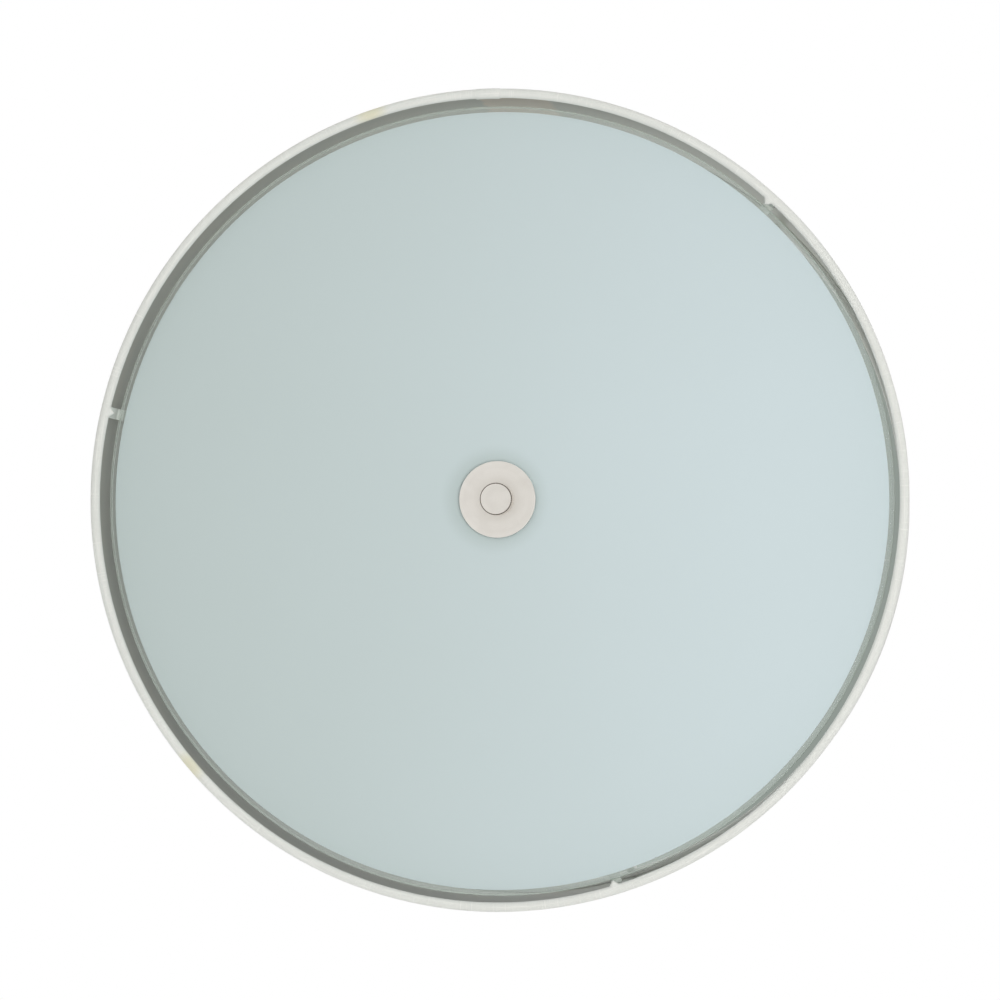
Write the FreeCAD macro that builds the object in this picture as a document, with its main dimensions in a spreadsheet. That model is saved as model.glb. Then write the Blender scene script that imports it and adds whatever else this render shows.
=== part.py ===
import FreeCAD
import Part
import Sketcher
import math
import os
import re

# A flush ceiling light: a fabric drum shade on two wire rings, a satin glass disc held up
# against three tabs by a turned knob on the centre rod, and three lamps on a ceiling pan.
# Millimetres. The ceiling is the plane z = 0, everything hangs below it, and +X, +Y are
# the two directions along the ceiling. Pieces that come in threes stand at 120 degrees.

document = FreeCAD.newDocument("ceiling_light")
sheet = document.addObject("Spreadsheet::Sheet", "sizes")

driving = {
    # drum shade
    "shade_radius": 203.0,
    "shade_height": 130.0,
    "shade_ceiling_gap": 4.0,
    "fabric_thick": 0.5,
    "liner_thick": 0.5,
    "ring_wire": 2.6,
    "hem_thick": 1.0,
    "glue_gap": 0.05,
    "cusp_reach": 1.8,
    "cusp_width": 9.0,
    "cusp_height": 1.5,
    # glass tabs on the bottom ring
    "tab_width": 5.5,
    "tab_thick": 1.2,
    "tab_overlap": 10.0,
    "weld_bite": 0.3,
    "first_arm_angle": 12.8,
    # diffuser
    "glass_recess": 15.0,
    "glass_thick": 4.0,
    "glass_gap": 2.3,
    "glass_hole_gap": 0.65,
    "glass_bevel": 0.5,
    "seat_gap": 0.2,
    "rubber_radius": 17.0,
    "rubber_thick": 1.2,
    "washer_radius": 19.05,
    "washer_thick": 2.0,
    "knob_radius": 8.0,
    "knob_height": 6.5,
    "knob_bore_depth": 5.3,
    "knob_chamfer": 0.5,
    "rod_end_gap": 0.5,
    # centre rod and its nuts
    "rod_radius": 4.85,
    "thread_gap": 0.05,
    "nut_flats": 14.3,
    "nut_height": 4.8,
    "lock_washer_radius": 9.0,
    "lock_washer_thick": 0.8,
    # mounting strap
    "strap_length": 105.0,
    "strap_width": 19.0,
    "strap_thick": 1.5,
    "slot_spacing": 79.4,
    "slot_length": 14.1,
    "slot_radius": 2.3,
    "ground_screw_place": 22.0,
    "ground_screw_radius": 2.0,
    "ground_head_radius": 4.0,
    "ground_head_height": 2.5,
    # ceiling pan
    "pan_radius": 150.0,
    "pan_taper": 4.0,
    "pan_depth": 25.0,
    "pan_sheet": 0.8,
    "pad_inner_radius": 70.0,
    "pad_side_gap": 8.0,
    "pad_thick": 6.0,
    # spider that carries the shade
    "hub_radius": 17.0,
    "hub_thick": 2.0,
    "arm_radius": 2.0,
    "arm_bend": 12.0,
    "notch_gap": 0.3,
    # lampholders
    "socket_turn": 60.0,
    "socket_drop": 66.0,
    "bracket_place": 32.8,
    "bracket_thick": 1.2,
    "bracket_width": 8.0,
    "bracket_foot": 16.0,
    "bracket_tail": 7.0,
    "rivet_radius": 1.6,
    "rivet_head_radius": 3.0,
    "rivet_head_height": 1.0,
    "rivet_spacing": 7.0,
    "socket_wall": 3.8,
    "socket_length": 44.0,
    "socket_back_wall": 10.0,
    "shell_thick": 0.5,
    "shell_setback": 1.5,
    "shell_lip": 1.0,
    "shell_side_gap": 0.3,
    "contact_base_radius": 5.5,
    "contact_base_thick": 1.0,
    "contact_tip_radius": 3.0,
    "contact_tip_height": 2.4,
    "screw_radius": 1.9,
    "screw_depth": 5.0,
    "screw_head_radius": 3.5,
    "screw_head_height": 2.5,
    # lamps
    "lamp_radius": 30.0,
    "lamp_length": 108.4,
    "lamp_wall": 1.5,
    "cap_radius": 13.1,
    "cap_wall": 0.5,
    "cap_side_gap": 0.3,
    "lamp_contact_radius": 4.6,
    "lamp_contact_height": 3.9,
    "housing_gap": 0.4,
    "housing_foot_radius": 15.5,
    "housing_taper_radius": 17.0,
    "housing_taper_height": 6.0,
    # leads
    "lead_radius": 1.1,
    "lead_side_gap": 0.4,
    "lead_depth": 4.0,
    "lead_hole_gap": 0.2,
    "lead_bend": 5.0,
    "riser_place": 21.5,
    "level_step": 7.0,
    "bushing_wall": 1.5,
    "bushing_flange_reach": 1.5,
    "bushing_lip_reach": 0.7,
    "bushing_flange_thick": 1.2,
    "connector_radius": 7.0,
    "connector_tip_radius": 4.6,
    "connector_length": 24.0,
    "connector_bore": 4.2,
    "connector_depth": 12.0,
    "connector_place": 30.0,
}

for row, (alias, number) in enumerate(driving.items(), start=1):
    sheet.set(f"A{row}", alias)
    sheet.set(f"B{row}", str(number))
    sheet.setAlias(f"B{row}", alias)
document.recompute()

aliases = re.compile(r"\b(" + "|".join(driving) + r")\b")
origin = FreeCAD.Vector(0, 0, 0)
upward = FreeCAD.Vector(0, 0, 1)
nodes = []


def bound(text):
    """The expression with the sheet's name put before each of its aliases."""
    return aliases.sub(r"sizes.\1", str(text))


def value(text):
    return float(sheet.evalExpression(str(text)))


def bind(thing, **properties):
    """Binds properties to expressions; two underscores stand for a dot."""
    for name, text in properties.items():
        thing.setExpression(name.replace("__", "."), bound(text))
    return thing


def place(thing, x="0", y="0", z="0", turn="0", axis=upward):
    """Puts the thing at x, y, z, turned about the axis by an angle in degrees."""
    thing.Placement = FreeCAD.Placement(origin, FreeCAD.Rotation(axis, 30))
    bind(thing, Placement__Base__x=x, Placement__Base__y=y, Placement__Base__z=z)
    return bind(thing, Placement__Rotation__Angle=turn)


def node(thing, name):
    thing.Label = name
    nodes.append(thing)
    return thing


def around(k):
    """The angle of arm, tab and cusp number k."""
    return f"first_arm_angle + {120 * k}"


def lamp_angle(k):
    """The angle of lampholder number k, midway between two arms."""
    return f"first_arm_angle + socket_turn + {120 * k}"


# ---- heights below the ceiling and radii that several pieces share ----

ring_offset = "(ring_wire / 2 + glue_gap + hem_thick)"
top_ring_z = f"(0 - shade_ceiling_gap - {ring_offset})"
bottom_ring_z = f"(0 - shade_ceiling_gap - shade_height + {ring_offset})"
ring_radius = "(shade_radius - fabric_thick - liner_thick - glue_gap - ring_wire / 2)"
hem_radius = f"(shade_radius - {ring_radius})"
shade_low = "(0 - shade_ceiling_gap - shade_height)"
lip_radius = f"({ring_radius} - {hem_radius})"

glass_low = f"({shade_low} + glass_recess)"
glass_high = f"({glass_low} + glass_thick)"
glass_radius = f"({lip_radius} - glass_gap)"
rubber_low = f"({glass_low} - rubber_thick)"
washer_low = f"({rubber_low} - washer_thick)"
knob_low = f"({washer_low} - knob_height)"
rod_low = f"({washer_low} - knob_bore_depth + rod_end_gap)"
bore_radius = "(rod_radius + thread_gap)"
glass_hole_radius = "(rod_radius + glass_hole_gap)"

pan_floor_radius = "(pan_radius - pan_taper)"
pan_low = "(0 - pan_depth)"
pan_floor = "(pan_sheet - pan_depth)"
lock_low = f"({pan_low} - lock_washer_thick)"
pan_nut_low = f"({lock_low} - nut_height)"
hub_low = f"({pan_nut_low} - hub_thick)"
spider_nut_low = f"({hub_low} - nut_height)"

shell_radius = "(cap_radius + cap_side_gap + shell_thick)"
socket_radius = f"({shell_radius} + shell_side_gap + socket_wall)"
lead_spread = "(bracket_width / 2 + lead_radius + lead_side_gap)"
bushing_bore = f"({lead_spread} + lead_radius + lead_side_gap)"
bushing_radius = f"({bushing_bore} + bushing_wall)"
socket_back = "(bracket_place + bracket_thick)"
socket_mouth = f"({socket_back} + socket_length)"
socket_floor = f"({socket_back} + socket_back_wall)"
contact_tip = f"({socket_floor} + contact_base_thick + contact_tip_height)"
lamp_tail = f"({contact_tip} + seat_gap)"
lamp_tip = f"({lamp_tail} + lamp_length)"
lamp_centre = f"({lamp_tip} - lamp_radius)"
cap_mouth = f"({socket_mouth} + housing_gap)"
rivet_middle = f"({socket_back} + bracket_foot / 2)"
rivet_ways = [f"({rivet_middle} - rivet_spacing / 2)", f"({rivet_middle} + rivet_spacing / 2)"]
white_z = f"({pan_floor} + connector_radius + seat_gap)"
black_z = f"({white_z} + level_step)"


# ---- ways of making a solid ----


def edge_between(start, end, radius, side):
    """A straight edge, or an arc under a half circle whose centre lies on that side."""
    a = FreeCAD.Vector(value(start[0]), value(start[1]), 0)
    b = FreeCAD.Vector(value(end[0]), value(end[1]), 0)
    if radius is None:
        return Part.LineSegment(a, b)
    along = b - a
    half = along.Length / 2
    left = FreeCAD.Vector(-along.y, along.x, 0).normalize()
    rise = math.sqrt(max(value(radius) ** 2 - half ** 2, 0.0))
    centre = (a + b) / 2 + left * rise * side
    return Part.Arc(a, centre - left * side * value(radius), b)


def outlined(body, outline, plane):
    """A closed sketch on one of the body's planes. Each entry is a corner (x, y), and one
    that is reached by an arc also has the radius and 1 or -1 for a centre left or right."""
    support = [f for f in body.Origin.OriginFeatures if f.Role == plane][0]
    sketch = body.newObject("Sketcher::SketchObject", "outline")
    sketch.AttachmentSupport = [(support, "")]
    sketch.MapMode = "FlatFace"
    count = len(outline)
    ends = []
    for i, corner in enumerate(outline):
        following = outline[(i + 1) % count]
        radius, side = following[2:] if len(following) > 2 else (None, 1)
        sketch.addGeometry(edge_between(corner, following, radius, side), False)
        ends.append((1, 2) if side > 0 else (2, 1))
        if radius is not None:
            label = sketch.addConstraint(Sketcher.Constraint("Radius", i, value(radius)))
            sketch.setExpression(f"Constraints[{label}]", bound(radius))
    for i, corner in enumerate(outline):
        before = (i - 1) % count
        here = ends[i][0]
        sketch.addConstraint(Sketcher.Constraint("Coincident", before, ends[before][1], i, here))
        for kind, text in (("DistanceX", corner[0]), ("DistanceY", corner[1])):
            limit = Sketcher.Constraint(kind, -1, 1, i, here, value(text))
            label = sketch.addConstraint(limit)
            sketch.setExpression(f"Constraints[{label}]", bound(text))
    return sketch


def turned(name, outline, axis="V_Axis"):
    """A body turned from an outline: about the vertical axis the outline's x is a radius
    and y a height; about H_Axis x is the way along the axis and y a radius."""
    body = document.addObject("PartDesign::Body", name)
    sketch = outlined(body, outline, "XZ_Plane")
    feature = body.newObject("PartDesign::Revolution", "turned")
    feature.Profile = sketch
    feature.ReferenceAxis = (sketch, [axis])
    feature.Angle = 360
    return body


def padded(name, outline, height):
    """A body of an outline in plan, raised by the height."""
    body = document.addObject("PartDesign::Body", name)
    sketch = outlined(body, outline, "XY_Plane")
    feature = body.newObject("PartDesign::Pad", "pad")
    feature.Profile = sketch
    bind(feature, Length=height)
    return body


def box(name, length, width, height, **where):
    """A block whose corner is at its place."""
    block = document.addObject("Part::Box", name)
    bind(block, Length=length, Width=width, Height=height)
    return place(block, **where)


def cylinder(name, radius, height, **where):
    rod = document.addObject("Part::Cylinder", name)
    bind(rod, Radius=radius, Height=height)
    return place(rod, **where)


def along_x(name, radius, length, x, y="0", z="0"):
    """A cylinder that lies along +X from its place."""
    return cylinder(name, radius, length, x=x, y=y, z=z, turn="90", axis=FreeCAD.Vector(0, 1, 0))


def torus(name, radius, wire, z):
    ring = document.addObject("Part::Torus", name)
    bind(ring, Radius1=radius, Radius2=wire)
    return place(ring, z=z)


def joined(name, things):
    fused = document.addObject("Part::MultiFuse", name)
    fused.Shapes = things
    return fused


def cut(name, base, tools):
    """The base with all the tools taken out of it."""
    if len(tools) == 1:
        tool = tools[0]
    else:
        tool = document.addObject("Part::Compound", name + "_tools")
        tool.Links = tools
    result = document.addObject("Part::Cut", name)
    result.Base = base
    result.Tool = tool
    return result


def grouped(name, things):
    """Separate solids that share one node."""
    group = document.addObject("Part::Compound", name)
    group.Links = things
    return node(group, name)



def washer(name, inner, outer, low, high, chamfer="0.2"):
    """A flat ring with its outer edges broken by a small chamfer."""
    return turned(name, [
        (inner, low),
        (f"{outer} - {chamfer}", low),
        (outer, f"{low} + {chamfer}"),
        (outer, f"{high} - {chamfer}"),
        (f"{outer} - {chamfer}", high),
        (inner, high),
    ])


def hex_nut(name, low):
    prism = document.addObject("Part::Prism", name + "_blank")
    prism.Polygon = 6
    bind(prism, Circumradius="nut_flats / 2 / cos(30)", Height="nut_height")
    place(prism, z=low)
    hole = cylinder(name + "_hole", "rod_radius", "nut_height", z=low)
    return node(cut(name, prism, [hole]), name)


def routed(points, radius, wire):
    """A round wire along straight runs joined by tangent arcs. The arcs have the given
    radius, or less where the two runs that they join are short."""
    edges = []
    start = points[0]
    for before, corner, after in zip(points, points[1:], points[2:]):
        back = (before - corner).normalize()
        ahead = (after - corner).normalize()
        half_turn = (math.pi - back.getAngle(ahead)) / 2
        shorter = min((before - corner).Length, (after - corner).Length)
        bend = min(radius, 0.45 * shorter / math.tan(half_turn))
        reach = bend * math.tan(half_turn)
        enter = corner + back * reach
        leave = corner + ahead * reach
        inward = (back + ahead).normalize()
        middle = corner + inward * (bend / math.cos(half_turn) - bend)
        edges.append(Part.LineSegment(start, enter).toShape())
        edges.append(Part.Arc(enter, middle, leave).toShape())
        start = leave
    edges.append(Part.LineSegment(start, points[-1]).toShape())
    path = Part.Wire(edges)
    section = Part.Wire([Part.makeCircle(wire, points[0], points[1] - points[0])])
    solid = path.makePipeShell([section], True, False)
    expected = math.pi * wire ** 2 * path.Length
    if abs(solid.Volume / expected - 1) > 0.01:
        raise ValueError(f"a routed wire has volume {solid.Volume:.1f}, not {expected:.1f}")
    return solid


def polar(radius, angle, z):
    turn = math.radians(angle)
    return FreeCAD.Vector(radius * math.cos(turn), radius * math.sin(turn), z)


def seen_from(frame_angle, x, y, z):
    """A point given in a frame that is turned about the vertical axis."""
    point = FreeCAD.Vector(x, y, z)
    return FreeCAD.Rotation(upward, frame_angle).multVec(point)


# ---- ceiling side: strap, rod, nuts and pan ----


def mounting_strap():
    blank = box("strap_blank", "strap_length", "strap_width", "strap_thick",
                x="0 - strap_length / 2", y="0 - strap_width / 2", z="0 - strap_thick")
    tools = [
        cylinder("strap_bore", "rod_radius", "strap_thick", z="0 - strap_thick"),
        cylinder("strap_ground_hole", "ground_screw_radius", "strap_thick",
                 x="ground_screw_place", z="0 - strap_thick"),
    ]
    reach = "(slot_length / 2 - slot_radius)"
    for side in (-1, 1):
        near, far = f"({side} * slot_spacing / 2 - {reach})", f"({side} * slot_spacing / 2 + {reach})"
        slot = padded(f"strap_slot_{2 + side}", [
            (near, "0 - slot_radius", "slot_radius", 1),
            (far, "0 - slot_radius"),
            (f"{far} + slot_radius", "0", "slot_radius", 1),
            (far, "slot_radius", "slot_radius", 1),
            (near, "slot_radius"),
            (f"{near} - slot_radius", "0", "slot_radius", 1),
        ], "strap_thick")
        tools.append(place(slot, z="0 - strap_thick"))
    node(cut("mounting_strap", blank, tools), "mounting_strap")


def ground_screw():
    shank = cylinder("ground_shank", "ground_screw_radius", "strap_thick + ground_head_height / 2",
                     x="ground_screw_place", z="0 - strap_thick - ground_head_height / 2")
    head = cylinder("ground_head", "ground_head_radius", "ground_head_height",
                    x="ground_screw_place", z="0 - strap_thick - ground_head_height")
    node(joined("ground_screw", [shank, head]), "ground_screw")


def centre_rod():
    node(turned("centre_rod", [
        ("0", rod_low),
        ("rod_radius - thread_gap * 10", rod_low),
        ("rod_radius", f"{rod_low} + thread_gap * 10"),
        ("rod_radius", "0"),
        ("0", "0"),
    ]), "centre_rod")


def ceiling_pan():
    dish = turned("pan_blank", [
        ("rod_radius", pan_low),
        (pan_floor_radius, pan_low),
        ("pan_radius", "0"),
        ("pan_radius - pan_sheet", "0"),
        (f"{pan_floor_radius} - pan_sheet", pan_floor),
        ("rod_radius", pan_floor),
    ])
    holes = []
    for k in range(3):
        holes.append(cylinder(f"pan_bushing_hole_{k + 1}", bushing_radius, "pan_sheet * 3",
                              x=f"riser_place * cos({lamp_angle(k)})",
                              y=f"riser_place * sin({lamp_angle(k)})", z=f"{pan_low} - pan_sheet"))
        for way in rivet_ways:
            holes.append(cylinder(f"pan_rivet_hole_{k + 1}", "rivet_radius", "pan_sheet * 3",
                                  x=f"{way} * cos({lamp_angle(k)})",
                                  y=f"{way} * sin({lamp_angle(k)})", z=f"{pan_low} - pan_sheet"))
    node(cut("ceiling_pan", dish, holes), "ceiling_pan")


def insulation_pad():
    node(turned("insulation_pad", [
        ("pad_inner_radius", pan_floor),
        (f"{pan_floor_radius} - pad_side_gap", pan_floor),
        (f"{pan_floor_radius} - pad_side_gap", f"{pan_floor} + pad_thick"),
        ("pad_inner_radius", f"{pan_floor} + pad_thick"),
    ]), "insulation_pad")


def wire_bushings():
    bushings = []
    for k in range(3):
        bushing = turned(f"bushing_{k + 1}", [
            (bushing_bore, f"{pan_low} - bushing_flange_thick"),
            (f"{bushing_radius} + bushing_flange_reach", f"{pan_low} - bushing_flange_thick"),
            (f"{bushing_radius} + bushing_flange_reach", pan_low),
            (bushing_radius, pan_low),
            (bushing_radius, pan_floor),
            (f"{bushing_radius} + bushing_lip_reach", pan_floor),
            (bushing_radius, f"{pan_floor} + bushing_flange_thick"),
            (bushing_bore, f"{pan_floor} + bushing_flange_thick"),
        ])
        place(bushing, x=f"riser_place * cos({lamp_angle(k)})", y=f"riser_place * sin({lamp_angle(k)})")
        bushings.append(bushing)
    grouped("wire_bushings", bushings)


# ---- shade and its frame ----


def weld_cutter(name, height):
    """The room of a shade ring, taken out of what is welded to it."""
    return torus(name, ring_radius, "ring_wire / 2", height)


def shade_spider():
    """A hub plate on the rod with three wire arms that bend up to the top ring."""
    hub = document.addObject("Part::Feature", "spider_hub")
    wire = value("arm_radius")
    middle = value(f"{hub_low} + hub_thick / 2")
    outer = value(f"{ring_radius} - ring_wire / 2 - arm_radius + weld_bite")
    top = value(f"{top_ring_z} + ring_wire / 2")
    plate = Part.makeCylinder(value("hub_radius"), value("hub_thick"),
                              FreeCAD.Vector(0, 0, value(hub_low)))
    solid = plate
    for k in range(3):
        angle = value(around(k))
        start = polar(value("hub_radius") - 2 * wire, angle, middle)
        corner = polar(outer, angle, middle)
        solid = solid.fuse(routed([start, corner, polar(outer, angle, top)], value("arm_bend"), wire))
    solid = solid.cut(Part.makeCylinder(value("rod_radius"), value("hub_thick") + 4 * wire,
                                        FreeCAD.Vector(0, 0, value(hub_low) - 2 * wire)))
    ring = Part.makeTorus(value(ring_radius), value("ring_wire / 2"),
                          FreeCAD.Vector(0, 0, value(top_ring_z)))
    hub.Shape = solid.cut(ring)
    hub.Placement = FreeCAD.Placement()
    node(hub, "shade_spider")


def shade_rings():
    node(torus("top_ring", ring_radius, "ring_wire / 2", top_ring_z), "top_ring")
    node(torus("bottom_ring", ring_radius, "ring_wire / 2", bottom_ring_z), "bottom_ring")


def diffuser_tabs():
    """Three angle tabs welded inside the bottom ring; the glass is drawn up against them."""
    face = f"({ring_radius} - ring_wire / 2 + weld_bite)"
    tabs = []
    for k in range(3):
        leg = box(f"tab_leg_{k + 1}", "tab_thick", "tab_width",
                  f"{glass_high} + seat_gap + tab_thick - {bottom_ring_z} + ring_wire / 4",
                  x=f"{face} - tab_thick", y="0 - tab_width / 2", z=f"{bottom_ring_z} - ring_wire / 4")
        foot = box(f"tab_foot_{k + 1}", f"{face} - {glass_radius} + tab_overlap", "tab_width",
                   "tab_thick", x=f"{glass_radius} - tab_overlap", y="0 - tab_width / 2",
                   z=f"{glass_high} + seat_gap")
        bent = joined(f"tab_bent_{k + 1}", [leg, foot])
        tab = cut(f"tab_{k + 1}", bent, [weld_cutter(f"tab_weld_{k + 1}", bottom_ring_z)])
        tabs.append(place(tab, turn=around(k)))
    grouped("diffuser_tabs", tabs)


def shade_liner():
    outer = "(shade_radius - fabric_thick)"
    inner = f"({outer} - liner_thick)"
    low = f"({bottom_ring_z} + {hem_radius})"
    high = f"({top_ring_z} - {hem_radius})"
    node(turned("shade_liner", [(inner, low), (outer, low), (outer, high), (inner, high)]),
         "shade_liner")


def hem_cusp(k):
    """The pinch of fabric under a tab: a V with hollow sides that points at the centre."""
    root = f"({ring_radius} - hem_thick)"
    shoulder = f"({lip_radius} + glue_gap)"
    cusp = padded(f"cusp_{k + 1}", [
        (root, "0 - cusp_width / 2"),
        (root, "cusp_width / 2"),
        (shoulder, "cusp_width / 2"),
        (f"{lip_radius} - cusp_reach", "0", "cusp_width", -1),
        (shoulder, "0 - cusp_width / 2", "cusp_width", -1),
    ], "cusp_height")
    return place(cusp, z=f"{bottom_ring_z} - {hem_radius} + hem_thick - cusp_height / 2", turn=around(k))


def shade_fabric():
    """The outer cloth, turned in round both rings as a round hem."""
    inner = "(shade_radius - fabric_thick)"
    rise = f"sqrt({hem_radius} ^ 2 - ({inner} - {ring_radius}) ^ 2)"
    cloth = turned("cloth", [
        (inner, f"{bottom_ring_z} + {rise}", hem_radius, -1),
        (inner, f"{top_ring_z} - {rise}"),
        (ring_radius, f"{top_ring_z} - {hem_radius}", hem_radius, -1),
        (lip_radius, top_ring_z, hem_radius, -1),
        (ring_radius, f"{top_ring_z} + {hem_radius}", hem_radius, -1),
        ("shade_radius", top_ring_z, hem_radius, -1),
        ("shade_radius", bottom_ring_z),
        (ring_radius, f"{bottom_ring_z} - {hem_radius}", hem_radius, -1),
        (lip_radius, bottom_ring_z, hem_radius, -1),
        (ring_radius, f"{bottom_ring_z} + {hem_radius}", hem_radius, -1),
    ])
    wrapped = joined("cloth_with_cusps", [cloth] + [hem_cusp(k) for k in range(3)])
    tools = [
        torus("top_ring_room", ring_radius, "ring_wire / 2 + glue_gap", top_ring_z),
        torus("bottom_ring_room", ring_radius, "ring_wire / 2 + glue_gap", bottom_ring_z),
    ]
    for k in range(3):
        slit = box(f"tab_slit_{k + 1}", f"{hem_radius} + hem_thick", "tab_width + 2 * notch_gap",
                   f"{hem_radius} + ring_wire", x=f"{lip_radius} - hem_thick",
                   y="0 - tab_width / 2 - notch_gap", z=f"{bottom_ring_z} - ring_wire / 4 - notch_gap")
        tools.append(turned_tool(slit, k))
        slit = box(f"arm_slit_{k + 1}", f"{hem_radius} + hem_thick", "2 * arm_radius + 2 * notch_gap",
                   f"2 * {hem_radius} + ring_wire", x=f"{lip_radius} - hem_thick",
                   y="0 - arm_radius - notch_gap",
                   z=f"{top_ring_z} + ring_wire / 2 + notch_gap - 2 * {hem_radius} - ring_wire")
        tools.append(turned_tool(slit, k))
    node(cut("shade_fabric", wrapped, tools), "shade_fabric")


def turned_tool(thing, k):
    """A one-piece compound, so that a block drawn on +X can be turned to its arm."""
    holder = document.addObject("Part::Compound", thing.Name + "_turned")
    holder.Links = [thing]
    return place(holder, turn=around(k))


# ---- diffuser and finial ----


def diffuser_glass():
    node(turned("diffuser_glass", [
        (glass_hole_radius, glass_low),
        (f"{glass_radius} - glass_bevel", glass_low),
        (glass_radius, f"{glass_low} + glass_bevel"),
        (glass_radius, f"{glass_high} - glass_bevel"),
        (f"{glass_radius} - glass_bevel", glass_high),
        (glass_hole_radius, glass_high),
    ]), "diffuser_glass")


def finial_stack():
    node(washer("glass_washer", glass_hole_radius, "rubber_radius", rubber_low, glass_low),
         "glass_washer")
    node(washer("check_washer", bore_radius, "washer_radius", washer_low, rubber_low, "knob_chamfer / 2"),
         "check_washer")
    node(turned("finial_knob", [
        ("0", knob_low),
        ("knob_radius - knob_chamfer", knob_low),
        ("knob_radius", f"{knob_low} + knob_chamfer"),
        ("knob_radius", washer_low),
        (bore_radius, washer_low),
        (bore_radius, f"{washer_low} - knob_bore_depth"),
        ("0", f"{washer_low} - knob_bore_depth"),
    ]), "finial_knob")


# ---- lampholders ----


def socket_bracket(k):
    leg = box(f"bracket_leg_{k}", "bracket_thick", "bracket_width", "socket_drop - pan_depth + bracket_tail",
              x="bracket_place", y="0 - bracket_width / 2", z="0 - socket_drop - bracket_tail")
    foot = box(f"bracket_foot_{k}", "bracket_thick + bracket_foot", "bracket_width", "bracket_thick",
               x="bracket_place", y="0 - bracket_width / 2", z=f"{pan_low} - bracket_thick")
    bent = joined(f"bracket_bent_{k}", [leg, foot])
    holes = [along_x(f"bracket_screw_hole_{k}", "screw_radius", "3 * bracket_thick",
                     x="bracket_place - bracket_thick", z="0 - socket_drop")]
    for way in rivet_ways:
        holes.append(cylinder(f"bracket_rivet_hole_{k}", "rivet_radius", "3 * bracket_thick",
                              x=way, z=f"{pan_low} - 2 * bracket_thick"))
    bracket = cut(f"socket_bracket_{k}", bent, holes)
    node(place(bracket, turn=lamp_angle(k - 1)), f"socket_bracket_{k}")


def bracket_rivets():
    """Two rivets through each bracket foot and the pan, with a head on each side."""
    grip_low = f"({pan_low} - bracket_thick)"
    rivets = []
    for k in range(3):
        for way in rivet_ways:
            rivet = turned(f"rivet_{len(rivets) + 1}", [
                ("0", f"{grip_low} - rivet_head_height"),
                ("rivet_head_radius / 2", f"{grip_low} - rivet_head_height"),
                ("rivet_head_radius", f"{grip_low} - rivet_head_height / 3"),
                ("rivet_head_radius", grip_low),
                ("rivet_radius", grip_low),
                ("rivet_radius", pan_floor),
                ("rivet_radius + rivet_head_height / 2", pan_floor),
                ("rivet_radius", f"{pan_floor} + rivet_head_height"),
                ("0", f"{pan_floor} + rivet_head_height"),
            ])
            rivets.append(place(rivet, x=f"{way} * cos({lamp_angle(k)})", y=f"{way} * sin({lamp_angle(k)})"))
    grouped("bracket_rivets", rivets)


def on_lamp_axis(body, k):
    """Lays a body that is turned about its own +X on the axis of lampholder k."""
    return place(body, z="0 - socket_drop", turn=lamp_angle(k - 1))


def socket_screws():
    screws = []
    for k in (1, 2, 3):
        screw = turned(f"socket_screw_{k}", [
            ("bracket_place - screw_head_height", "0"),
            (f"{socket_back} + screw_depth", "0"),
            (f"{socket_back} + screw_depth", "screw_radius"),
            ("bracket_place", "screw_radius"),
            ("bracket_place", "screw_head_radius"),
            ("bracket_place - screw_head_height / 2", "screw_head_radius"),
            ("bracket_place - screw_head_height", "screw_head_radius * 0.7"),
        ], "H_Axis")
        screws.append(on_lamp_axis(screw, k))
    grouped("socket_screws", screws)


def socket_body(k):
    """The insulating lampholder: a cup with a thick back that holds the screw and leads."""
    bore = f"({shell_radius} + shell_side_gap)"
    cup = turned(f"holder_{k}", [
        (f"{socket_back} + screw_depth + lead_hole_gap", "0"),
        (socket_floor, "0"),
        (socket_floor, bore),
        (socket_mouth, bore),
        (socket_mouth, f"{socket_radius} - shell_lip"),
        (f"{socket_mouth} - shell_lip", socket_radius),
        (f"{socket_back} + shell_lip", socket_radius),
        (socket_back, f"{socket_radius} - shell_lip"),
        (socket_back, "screw_radius"),
        (f"{socket_back} + screw_depth + lead_hole_gap", "screw_radius"),
    ], "H_Axis")
    place(cup, z="0 - socket_drop")
    holes = []
    for side in (-1, 1):
        holes.append(along_x(f"lead_hole_{k}", "lead_radius + lead_hole_gap", "lead_depth + lead_hole_gap",
                             x=socket_back, y=f"{side} * {lead_spread}", z="0 - socket_drop"))
    body = cut(f"socket_body_{k}", cup, holes)
    node(place(body, turn=lamp_angle(k - 1)), f"socket_body_{k}")


def socket_shell(k):
    """The thin screw shell, with a turned-in floor."""
    floor = f"({socket_floor} + shell_setback)"
    inside = f"({shell_radius} - shell_thick)"
    shell = turned(f"socket_shell_{k}", [
        (floor, f"{shell_radius} / 2"),
        (floor, shell_radius),
        (f"{socket_mouth} - shell_lip", shell_radius),
        (f"{socket_mouth} - shell_lip", inside),
        (f"{floor} + shell_thick", inside),
        (f"{floor} + shell_thick", f"{shell_radius} / 2"),
    ], "H_Axis")
    node(on_lamp_axis(shell, k), f"socket_shell_{k}")


def socket_contact(k):
    contact = turned(f"socket_contact_{k}", [
        (socket_floor, "0"),
        (contact_tip, "0"),
        (contact_tip, "contact_tip_radius - shell_thick"),
        (f"{contact_tip} - shell_thick", "contact_tip_radius"),
        (f"{socket_floor} + contact_base_thick", "contact_tip_radius"),
        (f"{socket_floor} + contact_base_thick", "contact_base_radius"),
        (socket_floor, "contact_base_radius"),
    ], "H_Axis")
    node(on_lamp_axis(contact, k), f"socket_contact_{k}")


# ---- lamps ----


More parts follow.
